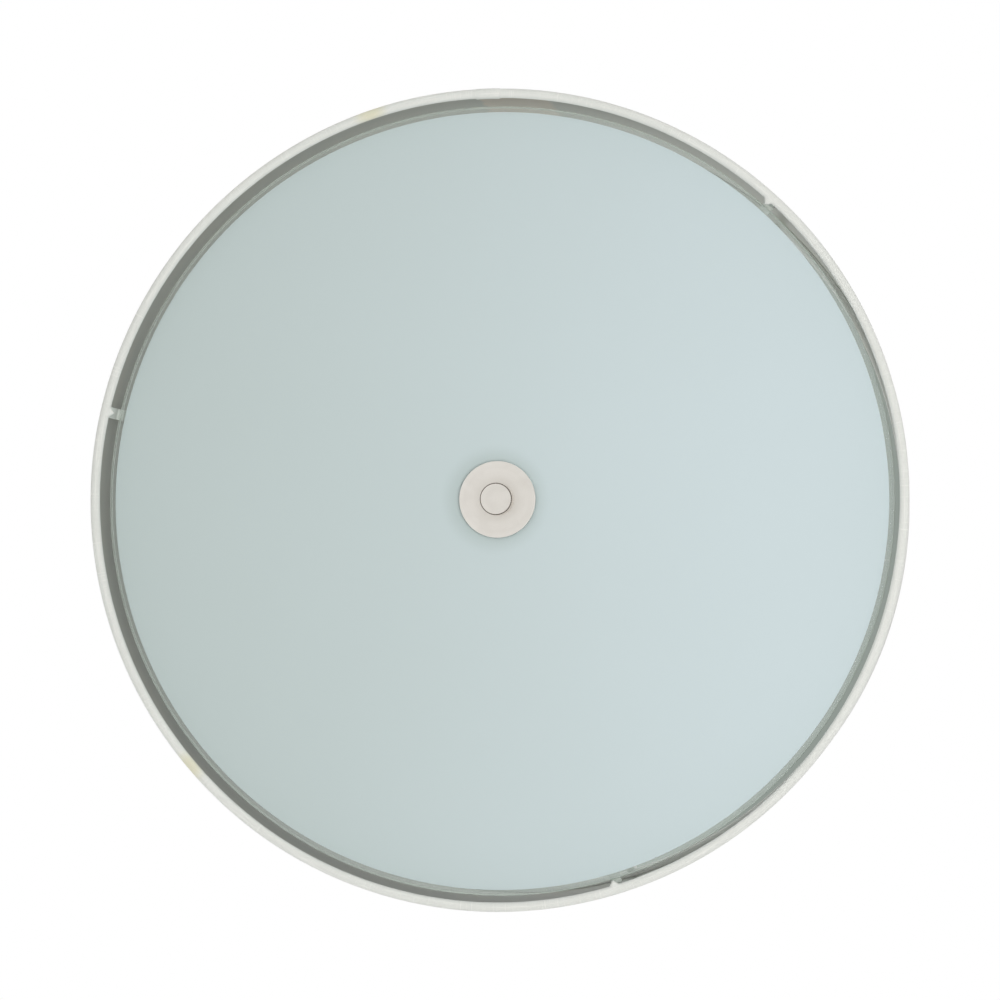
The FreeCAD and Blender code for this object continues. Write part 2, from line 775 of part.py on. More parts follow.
def lamp_contact(k):
    button = f"({lamp_tail} + lamp_contact_height / 3)"
    contact = turned(f"lamp_contact_{k}", [
        (lamp_tail, "0"),
        (f"{lamp_tail} + lamp_contact_height", "0"),
        (f"{lamp_tail} + lamp_contact_height", "lamp_contact_radius"),
        (button, "lamp_contact_radius"),
        (lamp_tail, "lamp_contact_radius * 0.7"),
    ], "H_Axis")
    node(on_lamp_axis(contact, k), f"lamp_contact_{k}")


def lamp_cap(k):
    """The screw cap, open towards the housing and narrowed to the contact."""
    neck = f"({lamp_tail} + lamp_contact_height / 2 + seat_gap)"
    shoulder = f"({lamp_tail} + 2 * lamp_contact_height)"
    hole = "(lamp_contact_radius + thread_gap * 2)"
    inside = "(cap_radius - cap_wall)"
    cap = turned(f"lamp_cap_{k}", [
        (neck, hole),
        (shoulder, "cap_radius"),
        (cap_mouth, "cap_radius"),
        (cap_mouth, inside),
        (f"{shoulder} + cap_wall", inside),
        (f"{neck} + 2 * cap_wall", hole),
    ], "H_Axis")
    node(on_lamp_axis(cap, k), f"lamp_cap_{k}")


joint_back = "(lamp_radius / 5)"
joint_radius = f"sqrt(lamp_radius ^ 2 - {joint_back} ^ 2)"
dome_inside = "(lamp_radius - lamp_wall)"
dome_inner_joint = f"sqrt({dome_inside} ^ 2 - {joint_back} ^ 2)"


def lamp_housing(k):
    """The flared plastic housing between the cap and the dome."""
    waist = f"({cap_mouth} + housing_taper_height)"
    rim = f"({lamp_centre} - {joint_back})"
    housing = turned(f"lamp_housing_{k}", [
        (cap_mouth, "cap_radius - cap_wall"),
        (cap_mouth, "housing_foot_radius"),
        (waist, "housing_taper_radius"),
        (rim, joint_radius, "3 * lamp_radius", 1),
        (rim, dome_inner_joint),
        (f"{waist} + lamp_wall", "housing_taper_radius - lamp_wall", "3 * lamp_radius", -1),
        (f"{cap_mouth} + lamp_wall", "housing_foot_radius - lamp_wall"),
        (f"{cap_mouth} + lamp_wall", "cap_radius - cap_wall"),
    ], "H_Axis")
    node(on_lamp_axis(housing, k), f"lamp_housing_{k}")


def lamp_dome(k):
    """The round translucent dome, a thin sphere cut off where the housing takes it."""
    rim = f"({lamp_centre} - {joint_back})"
    dome = turned(f"lamp_dome_{k}", [
        (rim, joint_radius),
        (lamp_centre, "lamp_radius", "lamp_radius", -1),
        (lamp_tip, "0", "lamp_radius", -1),
        (f"{lamp_tip} - lamp_wall", "0"),
        (lamp_centre, dome_inside, dome_inside, 1),
        (rim, dome_inner_joint, dome_inside, 1),
    ], "H_Axis")
    node(on_lamp_axis(dome, k), f"lamp_dome_{k}")


# ---- leads and their connectors ----

# Each colour's leads rise beside its lampholders and cross the pan to one connector. The
# routes are given in the connector's own frame, whose +X points outward through it.
white_turn = 60.0
black_turn = 180.0
near_route = [(20.0, 7.0)]
middle_route = [(7.5, -9.5), (18.0, -3.0)]
far_route = [(-9.0, 9.5), (3.0, 9.5), (18.0, 2.0)]
lane = 2.4


def lead_routes(side):
    """(lampholder, waypoints, lane in the connector) of one colour's three leads."""
    if side > 0:
        return [(1, middle_route, -1), (2, near_route, 1), (3, far_route, 0)]
    return [(3, middle_route, -1), (2, near_route, 1), (1, far_route, 0)]


def leads(name, side, connector_turn, level):
    """The white leads have side 1, and the black ones are their mirror image, side -1."""
    wires = []
    frame_angle = value(f"{lamp_angle(0)} + {connector_turn}")
    for holder, waypoints, offset in lead_routes(side):
        holder_angle = value(lamp_angle(holder - 1))
        across = -side * value(lead_spread)
        drop = -value("socket_drop")
        riser = value("riser_place")
        points = [
            seen_from(holder_angle, value(f"{socket_back} + lead_depth"), across, drop),
            seen_from(holder_angle, riser, across, drop),
            seen_from(holder_angle, riser, across, level),
        ]
        for x, y in waypoints:
            points.append(seen_from(frame_angle, x, side * y, level))
        mouth = value("connector_place")
        for x in (mouth - lane, mouth + value("connector_depth - seat_gap")):
            points.append(seen_from(frame_angle, x, side * offset * lane, level))
        lead = document.addObject("Part::Feature", f"{name}_{holder}")
        lead.Shape = routed(points, value("lead_bend"), value("lead_radius"))
        lead.Placement = FreeCAD.Placement()
        wires.append(lead)
    grouped(name, wires)


def wire_connectors():
    """Two twist-on connectors, each a tapered cap over the ends of one colour's leads."""
    caps = []
    for turn, level in ((white_turn, white_z), (black_turn, black_z)):
        number = len(caps) + 1
        mouth = "connector_place"
        tip = f"({mouth} + connector_length)"
        cap = turned(f"connector_{number}", [
            (mouth, "connector_bore"),
            (mouth, "connector_radius"),
            (f"{mouth} + connector_length / 3", "connector_radius"),
            (tip, "connector_tip_radius"),
            (tip, "0"),
            (f"{mouth} + connector_depth", "0"),
            (f"{mouth} + connector_depth", "connector_bore"),
        ], "H_Axis")
        caps.append(place(cap, z=level, turn=f"{lamp_angle(0)} + {turn}"))
    grouped("wire_connectors", caps)


mounting_strap()
ground_screw()
centre_rod()
hex_nut("strap_nut", "(0 - strap_thick - nut_height)")
ceiling_pan()
insulation_pad()
wire_bushings()
node(washer("lock_washer", "rod_radius", "lock_washer_radius", lock_low, pan_low, "thread_gap"),
     "lock_washer")
hex_nut("pan_nut", pan_nut_low)
shade_spider()
hex_nut("spider_nut", spider_nut_low)
shade_rings()
diffuser_tabs()
shade_liner()
shade_fabric()
for holder in (1, 2, 3):
    socket_bracket(holder)
    socket_body(holder)
    socket_shell(holder)
    socket_contact(holder)
    lamp_contact(holder)
    lamp_cap(holder)
    lamp_housing(holder)
    lamp_dome(holder)
bracket_rivets()
socket_screws()
diffuser_glass()
finial_stack()
leads("white_leads", 1, white_turn, value(white_z))
leads("black_leads", -1, black_turn, value(black_z))
wire_connectors()

document.recompute()

for thing in document.Objects:
    if "Invalid" in thing.State or "Error" in thing.State:
        raise ValueError(f"{thing.Label} could not be made: {thing.State}")
for piece in nodes:
    if piece.Shape.isNull() or not piece.Shape.isValid() or not piece.Shape.Solids:
        raise ValueError(f"{piece.Label} has no valid shape")

os.makedirs("parts", exist_ok=True)
for piece in nodes:
    piece.Shape.exportStep(f"parts/{piece.Label}.step")
    print(f"{piece.Label}: {len(piece.Shape.Solids)} solid(s), {piece.Shape.Volume:.0f} mm3")
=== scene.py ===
import math

import bpy
from mathutils import Matrix, Vector, noise as hills


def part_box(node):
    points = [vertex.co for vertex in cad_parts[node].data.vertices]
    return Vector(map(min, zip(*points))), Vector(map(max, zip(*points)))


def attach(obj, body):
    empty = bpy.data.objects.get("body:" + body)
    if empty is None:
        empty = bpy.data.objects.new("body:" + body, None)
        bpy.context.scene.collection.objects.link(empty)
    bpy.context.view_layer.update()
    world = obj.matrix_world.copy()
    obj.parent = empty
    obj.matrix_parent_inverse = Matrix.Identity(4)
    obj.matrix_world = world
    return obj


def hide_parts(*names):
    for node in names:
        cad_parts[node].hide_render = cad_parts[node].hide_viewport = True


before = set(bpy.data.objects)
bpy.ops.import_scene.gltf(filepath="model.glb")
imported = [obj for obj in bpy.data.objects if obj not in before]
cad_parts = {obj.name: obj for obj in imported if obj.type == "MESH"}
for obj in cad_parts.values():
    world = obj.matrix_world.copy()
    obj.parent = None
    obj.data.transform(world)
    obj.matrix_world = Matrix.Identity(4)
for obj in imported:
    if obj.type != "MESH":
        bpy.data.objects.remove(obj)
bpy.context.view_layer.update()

mm = 0.001
lamps = (1, 2, 3)


def reach(node):
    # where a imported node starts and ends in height, and how far out it goes, in millimetres
    low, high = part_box(node)
    return low.z / mm, high.z / mm, high.x / mm


# sizes that several pieces share, in millimetres
lipHeight, topHeight, drumRadius = reach("shade_fabric")
ringLow, ringHigh, ringOuter = reach("bottom_ring")
wireRadius = (ringHigh - ringLow) / 2
ringRadius = ringOuter - wireRadius
hemRadius = drumRadius - ringRadius
glassLow, glassHigh, glassRadius = reach("diffuser_glass")
rodRadius = reach("centre_rod")[2]
firstArm = 12.8  # degrees round the drum, where the first of the three arms and tabs stands


cameraPlace = {
    "below": 1.80,
    "toLeft": -0.203,
    "toFront": -0.066,
    "aim": (-2.7, -0.75),  # millimetres from the middle of the lip
    "lens": 132.6,
}


def makeCamera(place):
    # it looks up at the middle of the lip, with +Y upwards in the picture
    target = Vector((*place["aim"], lipHeight)) * mm
    bpy.ops.object.camera_add(location=(place["toLeft"], place["toFront"], target.z - place["below"]))
    camera = bpy.context.object
    camera.name = "viewCamera"
    camera.data.lens = place["lens"]
    camera.data.clip_end = 50
    back = (camera.location - target).normalized()
    right = Vector((0, 1, 0)).cross(back).normalized()
    camera.rotation_euler = Matrix((right, back.cross(right), back)).transposed().to_euler()
    bpy.context.scene.camera = camera


def paint(red, green, blue):
    # a colour as a picture editor shows it, 0 to 255, made linear
    def linear(level):
        level /= 255
        return level / 12.92 if level <= 0.04045 else ((level + 0.055) / 1.055) ** 2.4

    return (linear(red), linear(green), linear(blue), 1.0)


def addNode(tree, kind, inputs=None, **settings):
    node = tree.nodes.new("ShaderNode" + kind)
    for name, value in settings.items():
        setattr(node, name, value)
    for socket, value in (inputs or {}).items():
        if isinstance(value, bpy.types.NodeSocket):
            tree.links.new(value, node.inputs[socket])
        else:
            node.inputs[socket].default_value = value
    return node


def maths(operation, first, second=0.0, third=0.0):
    # one of the first two is a socket, whose tree the node joins
    tree = (first if isinstance(first, bpy.types.NodeSocket) else second).id_data
    return addNode(tree, "Math", {0: first, 1: second, 2: third}, operation=operation).outputs[0]


def between(value, low, high, to=(0.0, 1.0)):
    # the value's place from low to high, smoothed and kept within the two
    return addNode(value.id_data, "MapRange", {0: value, 1: low, 2: high, 3: to[0], 4: to[1]},
                   interpolation_type="SMOOTHSTEP").outputs[0]


def mixed(factor, first, second):
    return addNode(factor.id_data, "Mix", {0: factor, 6: first, 7: second}, data_type="RGBA").outputs[2]


def objectPlace(tree, stretch=(1, 1, 1), offset=(0, 0, 0)):
    here = addNode(tree, "TexCoord").outputs["Object"]
    return addNode(tree, "Mapping", {"Vector": here, "Location": offset, "Scale": stretch}).outputs[0]


def axes(tree, place=None):
    # the three parts of a place, which is the object's own where none is given
    return addNode(tree, "SeparateXYZ", {0: place or objectPlace(tree)}).outputs


def flatRadius(tree, offset=0.0):
    # how far from the rod's axis, in metres
    place = objectPlace(tree, (1, 1, 0), (offset * mm, 0, 0))
    return addNode(tree, "VectorMath", {0: place}, operation="LENGTH").outputs["Value"]


def noise(tree, size, detail=3.0, roughness=0.5, place=None):
    # a cloudy pattern whose blobs are about that many millimetres across
    return addNode(tree, "TexNoise", {"Vector": place or objectPlace(tree), "Scale": 1 / (size * mm),
                                      "Detail": detail, "Roughness": roughness}).outputs["Fac"]


def newMaterial(name, colour, roughness=0.5, metallic=0.0, **sockets):
    material = bpy.data.materials.new(name)
    material.use_nodes = True
    shader = material.node_tree.nodes["Principled BSDF"]
    shader.inputs["Base Color"].default_value = colour
    shader.inputs["Roughness"].default_value = roughness
    shader.inputs["Metallic"].default_value = metallic
    for socket, value in sockets.items():
        shader.inputs[socket.replace("_", " ")].default_value = value
    return material, material.node_tree, shader


def feed(shader, socket, value):
    shader.id_data.links.new(value, shader.inputs[socket])


def bumpWith(shader, height, depth):
    # depth in millimetres
    bump = addNode(shader.id_data, "Bump", {"Height": height, "Distance": depth * mm, "Strength": 1.0})
    feed(shader, "Normal", bump.outputs[0])


lighting = {
    "upper": 0.95,
    "lower": 0.30,
    "keyPower": 11.5, "keyAt": (-0.42, -0.10, -1.50), "keySize": 0.8,
    "fillPower": 2.0, "fillAt": (0.9, 0.7, -2.0), "fillSize": 1.2,
    "sidePower": 9.0, "sideAt": (1.5, -1.9, 0.5), "sideSize": 1.2,
    "floorDrop": 2.5, "floorRadius": 1.7,
    "ceilingShade": paint(145, 153, 147),
}


def areaLamp(name, at, power, size):
    bpy.ops.object.light_add(type="AREA", location=at)
    lamp = bpy.context.object
    lamp.name = name
    lamp.data.energy = power
    lamp.data.shape = "DISK"
    lamp.data.size = size
    lamp.rotation_euler = Vector(at).to_track_quat("Z", "Y").to_euler()
    lamp.visible_camera = False
    lamp.visible_glossy = False  # bright metal shows the white room and not the lamps


def whiteToCamera(tree, plain, white):
    # white to the camera and in mirrors and glass, and the plain shader as a light
    path = addNode(tree, "LightPath")
    seen = maths("MAXIMUM", path.outputs["Is Camera Ray"],
                 maths("MAXIMUM", path.outputs["Is Glossy Ray"], path.outputs["Is Transmission Ray"]))
    return addNode(tree, "MixShader", {0: seen, 1: plain, 2: white}).outputs[0]


def makeWorld(upper, lower):
    # brighter from above than from low down
    world = bpy.data.worlds.new("studio")
    bpy.context.scene.world = world
    world.use_nodes = True
    tree = world.node_tree
    soft = tree.nodes["Background"]
    soft.inputs["Color"].default_value = (1, 1, 1, 1)
    way = axes(tree, addNode(tree, "TexCoord").outputs["Generated"])[2]
    tree.links.new(between(way, -0.7, 0.25, (lower, upper)), soft.inputs["Strength"])
    white = addNode(tree, "Background", {"Color": (1, 1, 1, 1), "Strength": 1.0})
    output = tree.nodes["World Output"]
    tree.links.new(whiteToCamera(tree, soft.outputs[0], white.outputs[0]), output.inputs["Surface"])


def makeFloor(drop, radius):
    bpy.ops.mesh.primitive_circle_add(vertices=96, radius=radius, fill_type="NGON", location=(0, 0, -drop))
    floor = bpy.context.object
    floor.name = "paleFloor"
    material, tree, shader = newMaterial("paleFloor", paint(236, 236, 234), 0.8)
    white = addNode(tree, "Emission", {"Color": (1, 1, 1, 1), "Strength": 1.0}).outputs[0]
    edge = between(flatRadius(tree), radius * 0.35, radius * 0.95)
    fade = addNode(tree, "MixShader", {0: edge, 1: shader.outputs[0], 2: white}).outputs[0]
    tree.links.new(fade, tree.nodes["Material Output"].inputs["Surface"])
    floor.data.materials.append(material)


def makeCeilingPatch(colour):
    # painted shade: a grey disc for the shaded ceiling, which the camera sees between shade and pan; only
    # from below, and it stops no light
    level = (topHeight - hemRadius) * mm
    bpy.ops.mesh.primitive_circle_add(vertices=96, radius=ringRadius * mm, fill_type="NGON",
                                      location=(0, 0, level), rotation=(math.pi, 0, 0))
    patch = bpy.context.object
    patch.name = "shadedCeiling"
    material, tree, shader = newMaterial("shadedCeiling", colour)
    path = addNode(tree, "LightPath")
    seen = maths("MAXIMUM", path.outputs["Is Camera Ray"], path.outputs["Is Transmission Ray"])
    front = maths("SUBTRACT", 1.0, addNode(tree, "NewGeometry").outputs["Backfacing"])
    clear = addNode(tree, "BsdfTransparent").outputs[0]
    dim = addNode(tree, "Emission", {"Color": colour, "Strength": 1.0}).outputs[0]
    there = addNode(tree, "MixShader", {0: maths("MULTIPLY", seen, front), 1: clear, 2: dim})
    tree.links.new(there.outputs[0], tree.nodes["Material Output"].inputs["Surface"])
    patch.data.materials.append(material)


def makeStage(light):
    bpy.context.scene.view_settings.view_transform = "Standard"
    makeWorld(light["upper"], light["lower"])
    for name in ("key", "fill", "side"):
        areaLamp(name + "Lamp", light[name + "At"], light[name + "Power"], light[name + "Size"])
    makeFloor(light["floorDrop"], light["floorRadius"])
    makeCeilingPatch(light["ceilingShade"])


def deselectAll():
    if bpy.context.object and bpy.context.object.mode != "OBJECT":
        bpy.ops.object.mode_set(mode="OBJECT")
    bpy.ops.object.select_all(action="DESELECT")


def takeUp(piece):
    deselectAll()
    piece.select_set(True)
    bpy.context.view_layer.objects.active = piece


def arc(centre, radius, start, end, count):
    # points round part of a circle, from one angle in degrees to another
    turns = [math.radians(start + (end - start) * step / count) for step in range(count + 1)]
    return [(centre[0] + radius * math.cos(turn), centre[1] + radius * math.sin(turn)) for turn in turns]


def rounding(x, z, radius, start, count):
    # a quarter circle that rounds the outline's corner at (x, z), from that angle in degrees
    side, rise = ((-1, -1), (1, -1), (1, 1), (-1, 1))[start // 90]
    return arc((x + side * radius, z + rise * radius), radius, start, start + 90, count)


def drawLine(name, places):
    # a line of edges through places in metres, left in edit mode
    deselectAll()
    bpy.ops.mesh.primitive_plane_add(size=mm)
    piece = bpy.context.object
    piece.name = name
    bpy.ops.object.mode_set(mode="EDIT")
    bpy.ops.mesh.merge(type="CENTER")
    bpy.ops.transform.translate(value=places[0])
    for here, there in zip(places, places[1:]):
        bpy.ops.mesh.extrude_vertices_move(TRANSFORM_OT_translate={"value": there - here})
    return piece


def drawOutline(name, outline, turn=0.0):
    # the line through (radius, height) points, standing at that many degrees round Z
    way = Vector((math.cos(math.radians(turn)), math.sin(math.radians(turn)), 0))
    return drawLine(name, [(way * across + Vector((0, 0, height))) * mm for across, height in outline])


def editAll():
    bpy.ops.object.mode_set(mode="EDIT")
    bpy.ops.mesh.select_all(action="SELECT")


def closeUp(merge=0.005):
    # merges what lies within so many millimetres, points the faces outwards and leaves edit mode
    editAll()
    if merge:
        bpy.ops.mesh.remove_doubles(threshold=merge * mm)
    bpy.ops.mesh.normals_make_consistent(inside=False)
    bpy.ops.object.mode_set(mode="OBJECT")


def spinAll(steps):
    editAll()
    bpy.ops.mesh.spin(steps=steps, angle=2 * math.pi, center=(0, 0, 0), axis=(0, 0, 1))
    closeUp()


def turnedPiece(name, outline, steps=96, turn=0.0, smooth=35):
    # the outline spun round Z; one that doesn't start and end on the axis closes on itself
    if outline[0][0] > 0 or outline[-1][0] > 0:
        outline = outline + outline[:1]
    piece = drawOutline(name, outline, turn)
    spinAll(steps)
    smoothByAngle(piece, smooth)
    return piece


def smoothByAngle(piece, degrees=35):
    takeUp(piece)
    bpy.ops.object.shade_smooth_by_angle(angle=math.radians(degrees))


def applyModifier(piece, kind, **settings):
    takeUp(piece)
    modifier = piece.modifiers.new(kind.lower(), kind)
    for name, value in settings.items():
        setattr(modifier, name, value)
    bpy.ops.object.modifier_apply(modifier=modifier.name)


def softenEdges(piece, width, segments=2, angle=30):
    applyModifier(piece, "BEVEL", width=width * mm, segments=segments, limit_method="ANGLE",
                  angle_limit=math.radians(angle))
    smoothByAngle(piece)


def settle(piece, place):
    # moves a piece that was modelled round the origin and leaves its place in its mesh
    takeUp(piece)
    piece.matrix_world = place
    bpy.ops.object.transform_apply(location=True, rotation=True, scale=True)


def copied(piece, name):
    takeUp(piece)
    bpy.ops.object.duplicate(linked=False)
    bpy.context.object.name = name
    return bpy.context.object


def joined(pieces, name):
    takeUp(pieces[0])
    for piece in pieces:
        piece.select_set(True)
    bpy.ops.object.join()
    pieces[0].name = name
    return pieces[0]


def spread(piece, places):
    # the piece at each of the places, all joined under its name
    copies = [piece] + [copied(piece, piece.name) for place in places[1:]]
    for one, place in zip(copies, places):
        settle(one, place)
    return joined(copies, piece.name)


def aboutZ(degrees):
    return Matrix.Rotation(math.radians(degrees), 4, "Z")


def towards(lamp):
    # turns +X towards that lampholder
    return aboutZ(firstArm + 60 + 120 * (lamp - 1))


def onLampAxis(lamp, height):
    # turns a piece modelled along +Z onto the axis of that lampholder, Z leading outwards
    return Matrix.Translation((0, 0, height * mm)) @ towards(lamp) @ Matrix.Rotation(math.pi / 2, 4, "Y")


def dress(piece, slot, material, *nodes, body="fixture"):
    piece.data.materials.clear()
    piece.data.materials.append(material)
    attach(piece, body)
    if nodes:
        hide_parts(*nodes)


clothShape = {
    "columns": 1080,
    "wallRows": 8,
    "beadRows": 22,
    "lapFrom": 87.3,  # degrees round the drum, where the joined edges overlap
    "lapTo": 90.7,
    "lapRise": 0.4,
    "pinchReach": 2.6,
    "pinchHalf": 0.72,
    "pinchHollow": 1.1,
    "wave": 0.12,
    "flat": (1.288, 0.156),
}
linenLook = {
    "light": paint(229, 231, 227),
    "dark": paint(206, 207, 200),
    "slub": paint(238, 238, 232),
    "thread": 0.62,
    "bump": 0.09,
    "glue": paint(214, 208, 168),
    "gluePlaces": (72, 319),
    "glow": 0.14, "glowFrom": -16.0, "glowTo": -10.0,
}


def linenMaterial(look):
    material, tree, shader = newMaterial("offWhiteLinen", look["light"], 0.82, Sheen_Weight=0.25,
                                         Sheen_Roughness=0.5, Specular_IOR_Level=0.25,
                                         Emission_Color=look["light"])
    flat = addNode(tree, "UVMap", uv_map="cloth").outputs[0]
    around, up = axes(tree, flat)[:2]
    turns = math.pi / (look["thread"] * mm)
    across = maths("SINE", maths("MULTIPLY", around, turns))
    along = maths("SINE", maths("MULTIPLY", up, turns))
    # where one set of threads passes over, the other passes under
    over = maths("MULTIPLY_ADD", maths("MULTIPLY", across, along), 0.5, 0.5)
    warp = maths("MULTIPLY", maths("ABSOLUTE", across), over)
    weft = maths("MULTIPLY", maths("ABSOLUTE", along), maths("SUBTRACT", 1.0, over))
    weave = maths("MAXIMUM", warp, weft)
    lengthways = addNode(tree, "Mapping", {"Vector": flat, "Scale": (0.04, 1, 1)}).outputs[0]
    upright = addNode(tree, "Mapping", {"Vector": flat, "Scale": (1, 0.04, 1)}).outputs[0]
    slubs = between(noise(tree, 0.9, 2.0, place=lengthways), 0.5, 0.78)
    fineSlubs = between(noise(tree, 0.8, 2.0, place=upright), 0.54, 0.8)
    thick = maths("MAXIMUM", slubs, fineSlubs)
    height = maths("MULTIPLY_ADD", thick, 0.8, weave)
    clouds = noise(tree, 60)
    colour = mixed(maths("MULTIPLY", weave, 0.9), look["dark"], look["light"])
    colour = mixed(maths("MULTIPLY", thick, 0.6), colour, look["slub"])
    colour = mixed(between(clouds, 0.3, 0.7, (0.0, 0.12)), colour, look["dark"])
    for degrees in look["gluePlaces"]:
        spot = aboutZ(degrees) @ Vector((drumRadius * mm, 0, lipHeight * mm))
        far = addNode(tree, "VectorMath", {0: objectPlace(tree), 1: spot}, operation="DISTANCE")
        stain = between(far.outputs["Value"], 2.5 * mm, 11 * mm, (0.55, 0.0))
        colour = mixed(stain, colour, look["glue"])
    feed(shader, "Base Color", colour)
    # painted light: the underside of the upper hem glows, standing in for daylight through the cloth
    here = axes(tree)[2]
    facing = axes(tree, addNode(tree, "NewGeometry").outputs["Normal"])[2]
    inside = between(flatRadius(tree), (drumRadius - 1.6) * mm, (drumRadius - 0.9) * mm, (1.0, 0.0))
    upper = between(here, look["glowFrom"] * mm, look["glowTo"] * mm, (0.0, look["glow"]))
    under = maths("MULTIPLY", inside, between(facing, -0.2, 0.3, (1.0, 0.0)))
    feed(shader, "Emission Strength", maths("MULTIPLY", upper, under))
    bumpWith(shader, height, look["bump"])
    return material


def degreesRound(point):
    return math.degrees(math.atan2(point.y, point.x)) % 360


def pinchAt(degrees, shape):
    # how far the hem is drawn in there, 1 at the tip of a pinch and 0 away from the three
    off = abs((degrees - firstArm + 60) % 120 - 60)
    return max(0.0, 1 - off / shape["pinchHalf"]) ** shape["pinchHollow"]


def makeCloth(shape):
    rise = math.degrees(math.acos((drumRadius - 0.5 - ringRadius) / hemRadius))
    low, high = (ringRadius, lipHeight + hemRadius), (ringRadius, topHeight - hemRadius)
    wall = [(drumRadius, low[1] + (high[1] - low[1]) * row / shape["wallRows"])
            for row in range(1, shape["wallRows"])]
    outline = arc(low, hemRadius, rise, 360, shape["beadRows"]) + wall
    outline += arc(high, hemRadius, 0, 360 - rise, shape["beadRows"])
    cloth = turnedPiece("shadeCloth", outline, shape["columns"], firstArm, smooth=40)
    for vertex in cloth.data.vertices:
        point = vertex.co
        degrees = degreesRound(point)
        # columns crowd into each pinch and up to the two edges of the lap
        off = (degrees - firstArm + 60) % 120 - 60
        if abs(off) < 2:
            crowded = min(abs(off), 1) * shape["pinchHalf"] + max(abs(off) - 1, 0) * (2 - shape["pinchHalf"])
            degrees += math.copysign(crowded, off) - off
        for edge in (shape["lapFrom"], shape["lapTo"]):
            gap = degrees - edge
            if abs(gap) < 0.334:
                degrees = edge + math.copysign(0.03, gap)
        outward = aboutZ(degrees) @ Vector((1, 0, 0))
        point.xy = outward.xy * point.xy.length
        middle = outward * ringRadius * mm
        middle.z = min(max(point.z, low[1] * mm), high[1] * mm)
        around = point - middle
        skin = around.length > (hemRadius - 0.1) * mm
        if skin and shape["lapFrom"] < degrees < shape["lapTo"]:
            rolled = 0.3 if point.z < low[1] * mm or point.z > high[1] * mm else 1.0
            point += around.normalized() * shape["lapRise"] * rolled * mm
        if skin and middle.z < (low[1] + 0.01) * mm:
            inward = max(0.0, -around.normalized().dot(outward))
            drop = max(0.0, -around.normalized().z)
            share = max(inward, drop * 0.35) ** 2
            point -= outward * (shape["pinchReach"] * mm * pinchAt(degrees, shape) * share)
        swing = math.sin(math.radians(degrees * 5 + 40)) + 0.6 * math.sin(math.radians(degrees * 11))
        point += outward * swing * shape["wave"] * mm * 0.5
    layOutCloth(cloth, shape, low, high)
    dress(cloth, "shade_linen", linenMaterial(linenLook), "shade_fabric")


def layOutCloth(cloth, shape, low, high):
    # the cloth's own map in metres: round the drum from the lap, and up over hem and wall
    flat = cloth.data.uv_layers.new(name="cloth")
    for face in cloth.data.polygons:
        middle = face.center
        faceTurn = (degreesRound(middle) - shape["lapTo"]) % 360
        for loop in face.loop_indices:
            point = cloth.data.vertices[cloth.data.loops[loop].vertex_index].co
            turn = (degreesRound(point) - shape["lapTo"]) % 360
            if turn - faceTurn > 180:
                turn -= 360
            if faceTurn - turn > 180:
                turn += 360
            across = point.xy.length - ringRadius * mm
            along = point.z
            lower = along < 0.5 * (low[1] + high[1]) * mm
            centre, side = (low[1] * mm, -1) if lower else (high[1] * mm, 1)
            beyond = (along - centre) * side
            if beyond > 0 or across < 0:
                bend = math.atan2(beyond, across) % (2 * math.pi)
                along = centre + side * bend * hemRadius * mm
            flat.data[loop].uv = (math.radians(turn) * drumRadius * mm, along)


glassShape = {"hole": 5.5, "bevel": 0.5, "border": 2.9, "steps": 360}
glassLook = {
    "satin": paint(181, 193, 191),
    # painted light: the paler, bluer colour of the side the lamps favour
    "satinPaintedLit": paint(194, 207, 210),
    # painted shadow round the washer, and from where to where it fades
    "shade": paint(158, 171, 167),
    "shadeReach": (18.0, 28.5),
    "clear": paint(215, 226, 220),
    # painted light: the border's alpha changes across it so its brightness follows how the lamps fall
    "clearAlpha": (0.16, 0.06, 0.075),  # in the middle, more towards one side, less towards the back
    "ground": paint(206, 217, 208),
    "groundAlpha": 0.6,
}


def satinMaterial(look):
    # painted light: paler and bluer towards one side, as if the lamps lit that side more; and a painted
    # shadow round the washer
    material, tree, shader = newMaterial("satinGlass", look["satin"], 0.42, Specular_IOR_Level=0.45)
    across = axes(tree)[0]
    # painted light: paler towards one side, with a little random mottle
    paintedLitSide = between(across, -glassRadius * mm, glassRadius * mm, (0.82, -0.02))
    paintedLitSide = maths("MULTIPLY_ADD", noise(tree, 140, 2.0), 0.2, paintedLitSide)
    colour = mixed(paintedLitSide, look["satin"], look["satinPaintedLit"])
    near, far = (reach * mm for reach in look["shadeReach"])
    # painted shadow round the washer
    shade = between(flatRadius(tree, -1.5), near, far, (0.45, 0.0))
    feed(shader, "Base Color", mixed(shade, colour, look["shade"]))
    grain = noise(tree, 0.35, 4.0, 0.7)
    feed(shader, "Roughness", between(grain, 0.2, 0.8, (0.38, 0.5)))
    bumpWith(shader, grain, 0.012)
    return material


def clearMaterial(look):
    # the unfrosted border; alpha lets the light through to the tabs behind it
    material, tree, shader = newMaterial("clearGlass", look["clear"], 0.1, IOR=1.5)
    here = axes(tree)
    middle, side, back = look["clearAlpha"]
    alpha = maths("MULTIPLY_ADD", here[0], -side / (glassRadius * mm), middle)
    alpha = maths("MULTIPLY_ADD", here[1], -back / (glassRadius * mm), alpha)
    feed(shader, "Alpha", alpha)
    bumpWith(shader, noise(tree, 9, 1.0, place=objectPlace(tree, (1, 1, 4))), 0.0015)
    return material


def groundMaterial(look):
    # the arris that was rubbed off the edge of the glass, greenish and dull
    material, tree, shader = newMaterial("groundGlass", look["ground"], 0.6, IOR=1.5,
                                         Alpha=look["groundAlpha"])
    bumpWith(shader, noise(tree, 0.4), 0.03)
    return material


